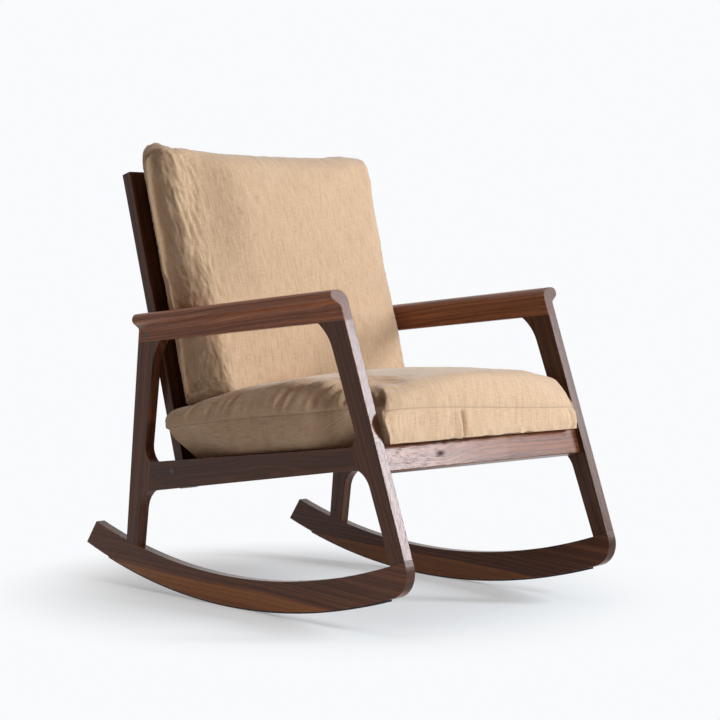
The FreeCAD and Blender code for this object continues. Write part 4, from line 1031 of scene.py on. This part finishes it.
def flatten_below(points, cover, sizes):
    """Lays the lower sheet flat on the rails, and a little lower between the side rails."""
    below = cover.sheet < 0
    flat = LAID_FLAT * below * between(cover.rim, 0.0, 0.03)
    points[:, 2] -= flat * (points[:, 2] + np.minimum(cover.rim, sizes.seat_seam))
    inside = below * (cover.rim > 0.045) * (np.abs(points[:, 0]) < INSIDE_RAILS)
    points[:, 2] -= 0.0018 * inside * band(cover.up, 0.10, 0.14, 0.57, 0.59)


def tuck_sides(points, cover):
    """Tucks the sides in just ahead of the legs, much more on the left."""
    tuck = 0.034 * bell(cover.up, 0.042, 0.026) * (1 - between(np.abs(cover.side), 0.04, 0.11))
    tuck *= between(cover.end - np.abs(cover.side), 0.002, 0.022)
    points[:, 0] -= np.sign(cover.across) * tuck * np.where(cover.across < 0, 1.0, 0.2)


def slant_rear(points, cover, sizes):
    """Slants the rear corners in below the seam, towards the slats."""
    rear = (cover.sheet < 0) * between(cover.up, sizes.seat_depth - 0.20, sizes.seat_depth - 0.03)
    below_seam = np.clip(-points[:, 2], 0, sizes.seat_seam)
    for axis, limit in ((0, sizes.seat_width / 2 - 0.008), (1, sizes.seat_depth - 0.012)):
        over = np.maximum(0.0, np.abs(points[:, axis]) - (limit - 0.75 * below_seam))
        points[:, axis] -= rear * np.sign(points[:, axis]) * over


def sag_front_seam(points, cover, sizes):
    """Lets the front seam sag, more to the right, and waves the lower edge below it."""
    sag = 0.011 + 0.018 * between(cover.across, -0.25, 0.25)
    sag *= (1 - between(cover.end, 0.02, 0.07)) * (cover.up < 0.1)
    points[:, 2] -= sag * np.clip((points[:, 2] + sizes.seat_seam) / sizes.seat_seam, 0, 1)
    wavy = LAID_FLAT * (cover.sheet < 0) * (1 - between(cover.up, *AHEAD)) * between(cover.end, 0.025, 0.05)
    points[:, 2] += 0.004 * wavy * ripple(cover.across / 0.024, 4.0)


def even_out_top(points, mesh, cover, leg):
    """Evens out the top's small crumples, most of all close to where the legs press."""
    away = np.hypot(np.abs(cover.across) - cover.width / 2, cover.up - leg)
    share = (cover.sheet > 0) * between(cover.rim, 0.002, 0.02) * (0.8 - 0.6 * between(away, 0.10, 0.20))
    soften(points, mesh, share, rounds=14)


def fold_round_legs(work, leg, half_width):
    """Folds that fan out over the top from where a front leg presses."""
    beside = np.abs(work.across) - half_width
    away = np.hypot(beside, work.up - leg)
    fan = np.arctan2(work.up - leg, beside - 0.02)
    behind = 0.35 + 0.65 * between(work.up, leg - 0.02, leg + 0.04)
    ring = band(away, 0.02, 0.07, 0.14, 0.28) * (work.rim > 0.004)
    work.lift += 0.0062 * behind * ring * ripple(fan * 3.6, 3.0, np.sign(work.across))


def gather_flanks(work):
    """Gathers that run from the side seams onto the top, much stronger on the left."""
    aside, hand = np.abs(work.side), np.sign(work.side)
    folds = 0.5 - np.minimum(1.0, 2.2 * np.abs(ripple(work.up / 0.030 + (aside / 0.060) ** 1.4, 2.0, hand)))
    uneven = 1 + 0.6 * ripple(work.up / 0.07, 7.0, hand)
    strength = np.where(work.side < 0, 1.3, 0.3) * (1 - 0.6 * between(work.up, 0.2, 0.6))
    flank = band(aside, 0.002, 0.018, 0.10, 0.19) * between(work.up, 0.05, 0.16) * (work.sheet > 0)
    work.lift += 0.0120 * flank * folds * uneven * strength


def crease_seat(work):
    """Small wrinkles all over, soft dents on top, a wavy hem, and creases down the front."""
    top = work.sheet > 0
    work.lift += 0.0004 * work.wrinkles(0.022, 0.060, 5.0) * between(work.rim, 0.006, 0.03)
    work.lift += 0.0022 * work.clouds(0.12, 8.0) * between(work.rim, 0.02, 0.08) * top
    hem = (1 - top) * band(work.end, 0.022, 0.045, 0.060, 0.090) * (work.up < 0.2)
    work.lift += 0.0026 * hem * work.wrinkles(0.034, 0.2, 11.0)
    for across, width, depth in ((-0.080, 0.0055, 0.0085), (0.243, 0.0040, 0.0040), (-0.262, 0.0040, 0.0020)):
        work.crease_below(across, width, depth)


def lay_on_slats(work):
    """Lays the seat on its rails and slats, sagging between the slats, and in front of the back's frame."""
    along, outer = work.points @ np.array(SEAT_BACK), np.abs(work.points[:, 0])
    front_rail, side_rails = reach("front_rail", SEAT_BACK) + 0.008, INSIDE_RAILS + 0.002
    on_rail = (along < front_rail) | (outer > side_rails)
    hollow = SLAT_SAG * between_slats(along) * (1 - between(outer, side_rails - 0.009, side_rails))
    level = np.where(on_rail, reach("front_rail", SEAT_UP), reach("seat_slat_1", SEAT_UP) - hollow) + SEAT_GAP
    resting = (work.sheet < 0) * between(work.rim, 0.02, 0.05) * between(work.up, 0.08, 0.14)
    above = work.points @ np.array(SEAT_UP) - level
    work.shift(-resting * np.clip(above, 0.0, 0.0025 + hollow), SEAT_UP)
    work.stop_at(level, SEAT_UP, SEAT_UP)
    beside_stiles = between(outer, 0.302, 0.318)
    stiles = reach("left_back_stile", BACK_OUT) + FRAME_GAP
    work.stop_at(stiles - 0.05 * beside_stiles, BACK_OUT, -SEAT_BACK)


class CHAIR_OT_seat_cushion(bpy.types.Operator):
    """Makes the seat cushion: filled linen that is flat below, crowned on top and held by the front legs"""
    bl_idname = "rocking_chair.seat_cushion"
    bl_label = "Seat Cushion"

    def execute(self, context):
        sizes = context.scene.chair_cushions
        seam, crown = sizes.seat_seam, sizes.seat_crown

        def half_width(up):
            """Half the seat's width at a distance up it: it widens past the front legs."""
            past_leg = min(1.0, max(0.0, (up - 0.07) / 0.16))
            return sizes.seat_front_width / 2 + (sizes.seat_width - sizes.seat_front_width) / 2 \
                * past_leg * past_leg * (3 - 2 * past_leg)

        edges = Edge(0.120, crown - sizes.seat_fall), Edge(0.030, seam - 0.002, squareness=2.2)
        cover = Cover(half_width, sizes.seat_depth, edges, corner=0.003, dip=0.0, pitch=sizes.pitch)
        cushion = cover.to_object("seat_pillow")
        lift = reach("left_side_rail", SEAT_UP) + seam + FILLING_GAP
        front = -reach("seat_cushion", -SEAT_BACK)
        seating = Seating(SEAT_BACK * (front + sizes.seat_front) + SEAT_UP * lift, SEAT_BACK, SEAT_UP)
        below, above = seating.slice_of_leg(-seam), seating.slice_of_leg(crown)
        leg = (below[0] + below[1]) / 2
        press = Press()
        press.add_board(cover, 1, crown, sizes.seat_fall)
        press.add_board(cover, -1, seam, 0.0)
        outline = [(below[0], -seam), (below[1], -seam), (above[1], crown), (above[0], crown)]
        for side in (-1, 1):
            press.add_leg(side, outline, cover.width / 2 + 0.03, sizes.seat_gap, last_frame=14)
        fill_cover(cushion, press, sizes)

        points = table(cushion.data.vertices, "co")
        square_front(points, cover, sizes)
        flatten_below(points, cover, sizes)
        tuck_sides(points, cover)
        slant_rear(points, cover, sizes)
        sag_front_seam(points, cover, sizes)
        even_out_top(points, cushion.data, cover, leg)
        set_cushion(cushion, points, cover, seating)

        work = Needlework(cushion)
        fold_round_legs(work, leg, cover.width / 2)
        gather_flanks(work)
        crease_seat(work)
        work.sew_seam(depth=0.0013, pucker=0.0012)
        work.settle()
        lay_on_slats(work)
        work.finish()
        finish_cushion(cushion, "seat_cushion", "seat linen")
        return {"FINISHED"}


# ---------------------------------------------------------------- back cushion
def slant_back(points, sizes):
    """Slants the cover in behind its seam, to the flat back."""
    behind = np.clip(-points[:, 2] / sizes.back_seam, 0, 1)
    slant = sizes.back_width / 2 - 0.9 * sizes.back_seam * behind
    points[:, 0] = np.sign(points[:, 0]) * np.minimum(np.abs(points[:, 0]), slant)


def stand_left_wall(points, cover, sizes, rise):
    """Beside its left seam the cover lies flat, then stands up as a wall, which is lower towards the top."""
    strip = np.minimum(-cover.side, 0.013 + 0.005 * ripple(points[:, 1] / 0.07, 6.0))
    past_strip = -cover.side - strip
    high_up = between(points[:, 1], 0.10, 0.52)
    low_wall = Edge(0.034, rise - 0.020, squareness=3.2)
    top_wall = Edge(0.028, rise - 0.062, squareness=3.2)
    inward = strip + (1 - high_up) * low_wall.inward_at(past_strip) + high_up * top_wall.inward_at(past_strip)
    height = 0.2 * strip + (1 - high_up) * low_wall.height_at(past_strip) \
        + high_up * top_wall.height_at(past_strip)
    share = (cover.side < 0) * (cover.sheet > 0) * (1 - between(-cover.side, 0.09, 0.25))
    share *= between(cover.end, 0.02, 0.09)
    points[:, 0] += share * (inward - sizes.back_width / 2 - points[:, 0])
    points[:, 2] += share * (height - points[:, 2])


def bunch_corners(points, mesh, cover, sizes):
    """Bunches the filling in the upper corners, more in the left one, and draws in the lower corners."""
    near_top = between(points[:, 1], sizes.back_height - 0.10, sizes.back_height - 0.02)
    for across, width, depth, height in ((-0.278, 0.023, 0.040, 0.034),
                                         (0.245, 0.040, 0.100, 0.006),
                                         (-0.195, 0.038, 0.080, 0.005)):
        points[:, 1] += height * near_top * bell(points[:, 0], across, width) * bell(points[:, 2], 0.0, depth)
    near_foot = between(np.abs(points[:, 0]), sizes.back_width / 2 - 0.075, sizes.back_width / 2) ** 2
    near_foot *= 1 - between(points[:, 1], 0.0, 0.08)
    points[:, 1] += np.where(cover.side < 0, 0.037, 0.022) * near_foot
    soften(points, mesh, 0.7 * near_top * bell(points[:, 0], -0.285, 0.035), rounds=8)


def crumple_back(work):
    """Crumples the flanks, more on the left with a long valley there, and wrinkles the rest a little."""
    front = work.sheet > 0
    flank = band(np.abs(work.side), 0.012, 0.030, 0.10, 0.17) * between(work.end, 0.01, 0.05)
    flank *= np.where(work.side < 0, 1.0, 0.4)
    work.lift += 0.0026 * flank * work.wrinkles(0.022, 0.080, 1.0, 0.12)
    work.lift += 0.0034 * flank * work.wrinkles(0.0090, 0.032, 4.0, 0.20)
    valley = bell(work.side, -0.036 - 0.006 * np.sin(work.up * 9), 0.014)
    work.lift -= 0.0040 * valley * between(work.end, 0.03, 0.12)
    shoulder = band(work.end, 0.008, 0.03, 0.06, 0.14)
    work.lift += 0.0014 * shoulder * work.wrinkles(0.045, 0.035, 9.0) * front
    work.lift += 0.0006 * work.wrinkles(0.014, 0.060, 5.0) * between(work.rim, 0.006, 0.03)
    work.lift += 0.0030 * work.clouds(0.13, 2.0) * between(work.rim, 0.03, 0.10) * front


def shape_ear(work):
    """Shapes the ear at the upper left: a notch below it, a dimple that parts it, and a narrow tip."""
    from_top = work.up.max() - work.up
    notch = bell(from_top, 0.062, 0.011) * bell(work.side, 0.0, 0.022) * (work.side < 0)
    work.shift(0.010 * notch, ACROSS)
    ridge = 1 - between(from_top, 0.040, 0.075)
    dimple = 0.007 * bell(work.across, -0.262, 0.010) - 0.005 * bell(work.across, -0.234, 0.018)
    work.shift(-ridge * dimple, BACK_UP)
    height = work.points @ np.array(BACK_UP)
    tip = between(height, height.max() - 0.060, height.max() - 0.005)
    work.shift(0.012 * tip * bell(work.points[:, 0], -0.310, 0.028), ACROSS)


def swell_right_edge(work):
    """Swells the edge below the rounder right corner."""
    swell = bell(work.up.max() - work.up, 0.120, 0.065) * bell(work.side, 0.075, 0.065)
    work.shift(0.010 * swell * (work.side > 0) * (work.sheet > 0), ACROSS + 0.4 * BACK_OUT)


def hold_between_arms(work):
    """Holds the cushion in between the arms, and lets it out again above and below them."""
    low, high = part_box("left_arm")
    height = work.points[:, 2]
    beyond = np.maximum(0.0, np.maximum(low.z - 0.006 - height, height - high.z - 0.006))
    for side in (-1, 1):
        work.stop_at(high.x + FRAME_GAP - 0.5 * beyond, -side * ACROSS, -side * ACROSS)


class CHAIR_OT_back_cushion(bpy.types.Operator):
    """Makes the back cushion: filled linen with eared corners that leans on the stiles"""
    bl_idname = "rocking_chair.back_cushion"
    bl_label = "Back Cushion"

    def execute(self, context):
        sizes = context.scene.chair_cushions
        rise = sizes.back_thickness - sizes.back_seam
        edges = Edge(0.085, rise - sizes.back_fall), Edge(0.060, sizes.back_seam - 0.004)
        cover = Cover(lambda up: sizes.back_width / 2, sizes.back_height, edges,
                      corner=0.018, dip=0.018, pitch=sizes.pitch)
        cushion = cover.to_object("back_pillow")
        press = Press()
        press.add_board(cover, 1, rise, sizes.back_fall)
        press.add_board(cover, -1, sizes.back_seam, 0.0)
        fill_cover(cushion, press, sizes)

        points = table(cushion.data.vertices, "co")
        slant_back(points, sizes)
        stand_left_wall(points, cover, sizes, rise)
        bunch_corners(points, cushion.data, cover, sizes)
        foot = reach("back_cushion", BACK_UP) - sizes.back_height - 0.012
        lift = reach("left_back_stile", BACK_OUT) + sizes.back_seam + FILLING_GAP
        set_cushion(cushion, points, cover, Seating(BACK_UP * foot + BACK_OUT * lift, BACK_UP, BACK_OUT))

        work = Needlework(cushion)
        crumple_back(work)
        work.sew_seam(depth=0.0016, pucker=0.0016)
        work.settle()
        work.rest_on(bpy.data.objects["seat_pillow"], SEAT_UP, BACK_UP)
        shape_ear(work)
        swell_right_edge(work)
        hold_between_arms(work)
        work.finish()
        finish_cushion(cushion, "back_cushion", "back linen")
        return {"FINISHED"}


# ---------------------------------------------------------------- stage
FLOOR_HALF = 14.0           # from the middle of the floor to its edge


def paper_material(stage):
    """Pale floor: it keeps the chair's shadow, looks a little brighter than it is, and fades away far off."""
    material, shader, wire = new_material("paper", 0.9)
    shader.inputs["Base Color"].default_value = opaque([c * 0.94 for c in stage.paper])
    shader.inputs["Specular IOR Level"].default_value = 0.0
    distance = wire.vector_math("LENGTH", wire.add("ShaderNodeTexCoord").outputs["Object"])
    far = wire.remap(distance, 0.36, 0.82, stage.floor_glow, 1.0)
    glow = wire.add("ShaderNodeEmission")
    glow.inputs["Color"].default_value = opaque(stage.paper)
    surface = material.node_tree.nodes["Material Output"].inputs["Surface"]
    wire.mix_shaders(wire.times(wire.backdrop_rays(), far), shader, glow, surface)
    return material


def soft_lamp(name, place, target, size, power, colour):
    """A lamp with a rectangular face, turned to a target."""
    light = bpy.data.lights.new(name, "AREA")
    light.color = colour
    light.shape = "RECTANGLE"
    light.size, light.size_y = size
    light.energy = power
    lamp = bpy.data.objects.new(name, light)
    lamp.location = place
    lamp.rotation_euler = (Vector(target) - Vector(place)).to_track_quat("-Z", "Y").to_euler()
    bpy.context.scene.collection.objects.link(lamp)


def light_room(scene, stage):
    """Gives the room a warm dim light, and the paper's colour wherever it is seen."""
    world = bpy.data.worlds.new("room")
    world.use_nodes = True
    scene.world = world
    wire = Wiring(world.node_tree)
    ambient = world.node_tree.nodes["Background"]
    ambient.inputs["Color"].default_value = (1.0, 0.67, 0.42, 1.0)
    ambient.inputs["Strength"].default_value = stage.room_light
    backdrop = wire.add("ShaderNodeBackground")
    backdrop.inputs["Color"].default_value = opaque(stage.paper)
    surface = world.node_tree.nodes["World Output"].inputs["Surface"]
    wire.mix_shaders(wire.backdrop_rays(), ambient, backdrop, surface)


def set_camera(scene, stage):
    """Stands the camera in its place and looks through it."""
    camera = bpy.data.objects.new("camera", bpy.data.cameras.new("camera"))
    camera.data.sensor_width = 36.0
    camera.data.lens = stage.lens
    camera.data.clip_end = 60.0
    camera.matrix_world = (Matrix.Translation(Vector(stage.camera_place))
                           @ Matrix.Rotation(stage.azimuth, 4, "Z")
                           @ Matrix.Rotation(math.pi / 2 - stage.dip, 4, "X")
                           @ Matrix.Rotation(stage.roll, 4, "Z"))
    scene.collection.objects.link(camera)
    scene.camera = camera
    scene.view_settings.view_transform = "Standard"


class CHAIR_OT_stage(bpy.types.Operator):
    """Lays the floor, hangs the lamps and sets up the camera"""
    bl_idname = "rocking_chair.stage"
    bl_label = "Stage"

    def execute(self, context):
        stage = context.scene.chair_stage
        mesh = bpy.data.meshes.new("floor")
        corners = [(x * FLOOR_HALF, y * FLOOR_HALF, 0) for x, y in ((-1, -1), (1, -1), (1, 1), (-1, 1))]
        mesh.from_pydata(corners, [], [(0, 1, 2, 3)])
        floor = bpy.data.objects.new("floor", mesh)
        context.scene.collection.objects.link(floor)
        mesh.materials.append(paper_material(stage))

        cool, white = (0.85, 0.94, 1.0), (1.0, 1.0, 1.0)
        chair_middle = (0.0, 0.0, 0.45)
        soft_lamp("key", (-0.3, -5.2, 2.6), chair_middle, (0.8, 0.8), stage.key_power, (0.84, 0.95, 1.0))
        soft_lamp("side", (2.48, -2.75, 1.85), chair_middle, (0.52, 1.40), stage.side_power, cool)
        soft_lamp("edge", (4.05, -2.75, 2.2), (0.3, -0.4, 0.45), (0.5, 1.0), stage.side_power * 0.14, cool)
        soft_lamp("top", (-0.3, 0.2, 4.5), (0.0, 0.0, 0.3), (4.0, 4.0), stage.top_power, white)
        light_room(context.scene, stage)
        set_camera(context.scene, stage)
        return {"FINISHED"}


# ---------------------------------------------------------------- panel and registration
STEPS = (CHAIR_OT_side_frames, CHAIR_OT_cross_rails, CHAIR_OT_back, CHAIR_OT_small_pieces,
         CHAIR_OT_seat_cushion, CHAIR_OT_back_cushion, CHAIR_OT_stage)
SETTINGS = (("chair_wood", WoodSettings), ("chair_linen", LinenSettings),
            ("chair_cushions", CushionSettings), ("chair_stage", StageSettings))


class CHAIR_PT_panel(bpy.types.Panel):
    """Lists the steps that finish the rocking chair"""
    bl_idname = "CHAIR_PT_panel"
    bl_label = "Rocking Chair"
    bl_space_type = "VIEW_3D"
    bl_region_type = "UI"
    bl_category = "Rocking Chair"

    def draw(self, context):
        """Shows a button for each step, and then the settings."""
        for step in STEPS:
            self.layout.operator(step.bl_idname)
        for name, group in SETTINGS:
            box = self.layout.box()
            for setting in group.__annotations__:
                box.prop(getattr(context.scene, name), setting)


def register():
    """Adds the settings, the steps and the panel."""
    for name, group in SETTINGS:
        bpy.utils.register_class(group)
        setattr(bpy.types.Scene, name, PointerProperty(type=group))
    for step in STEPS:
        bpy.utils.register_class(step)
    bpy.utils.register_class(CHAIR_PT_panel)


def unregister():
    """Takes the panel, the steps and the settings away again."""
    bpy.utils.unregister_class(CHAIR_PT_panel)
    for step in reversed(STEPS):
        bpy.utils.unregister_class(step)
    for name, group in reversed(SETTINGS):
        delattr(bpy.types.Scene, name)
        bpy.utils.unregister_class(group)


def main():
    """Finishes the chair, one step after the other."""
    register()
    bpy.ops.rocking_chair.side_frames()
    bpy.ops.rocking_chair.cross_rails()
    bpy.ops.rocking_chair.back()
    bpy.ops.rocking_chair.small_pieces()
    bpy.ops.rocking_chair.seat_cushion()
    bpy.ops.rocking_chair.back_cushion()
    bpy.ops.rocking_chair.stage()


if __name__ == "__main__":
    main()
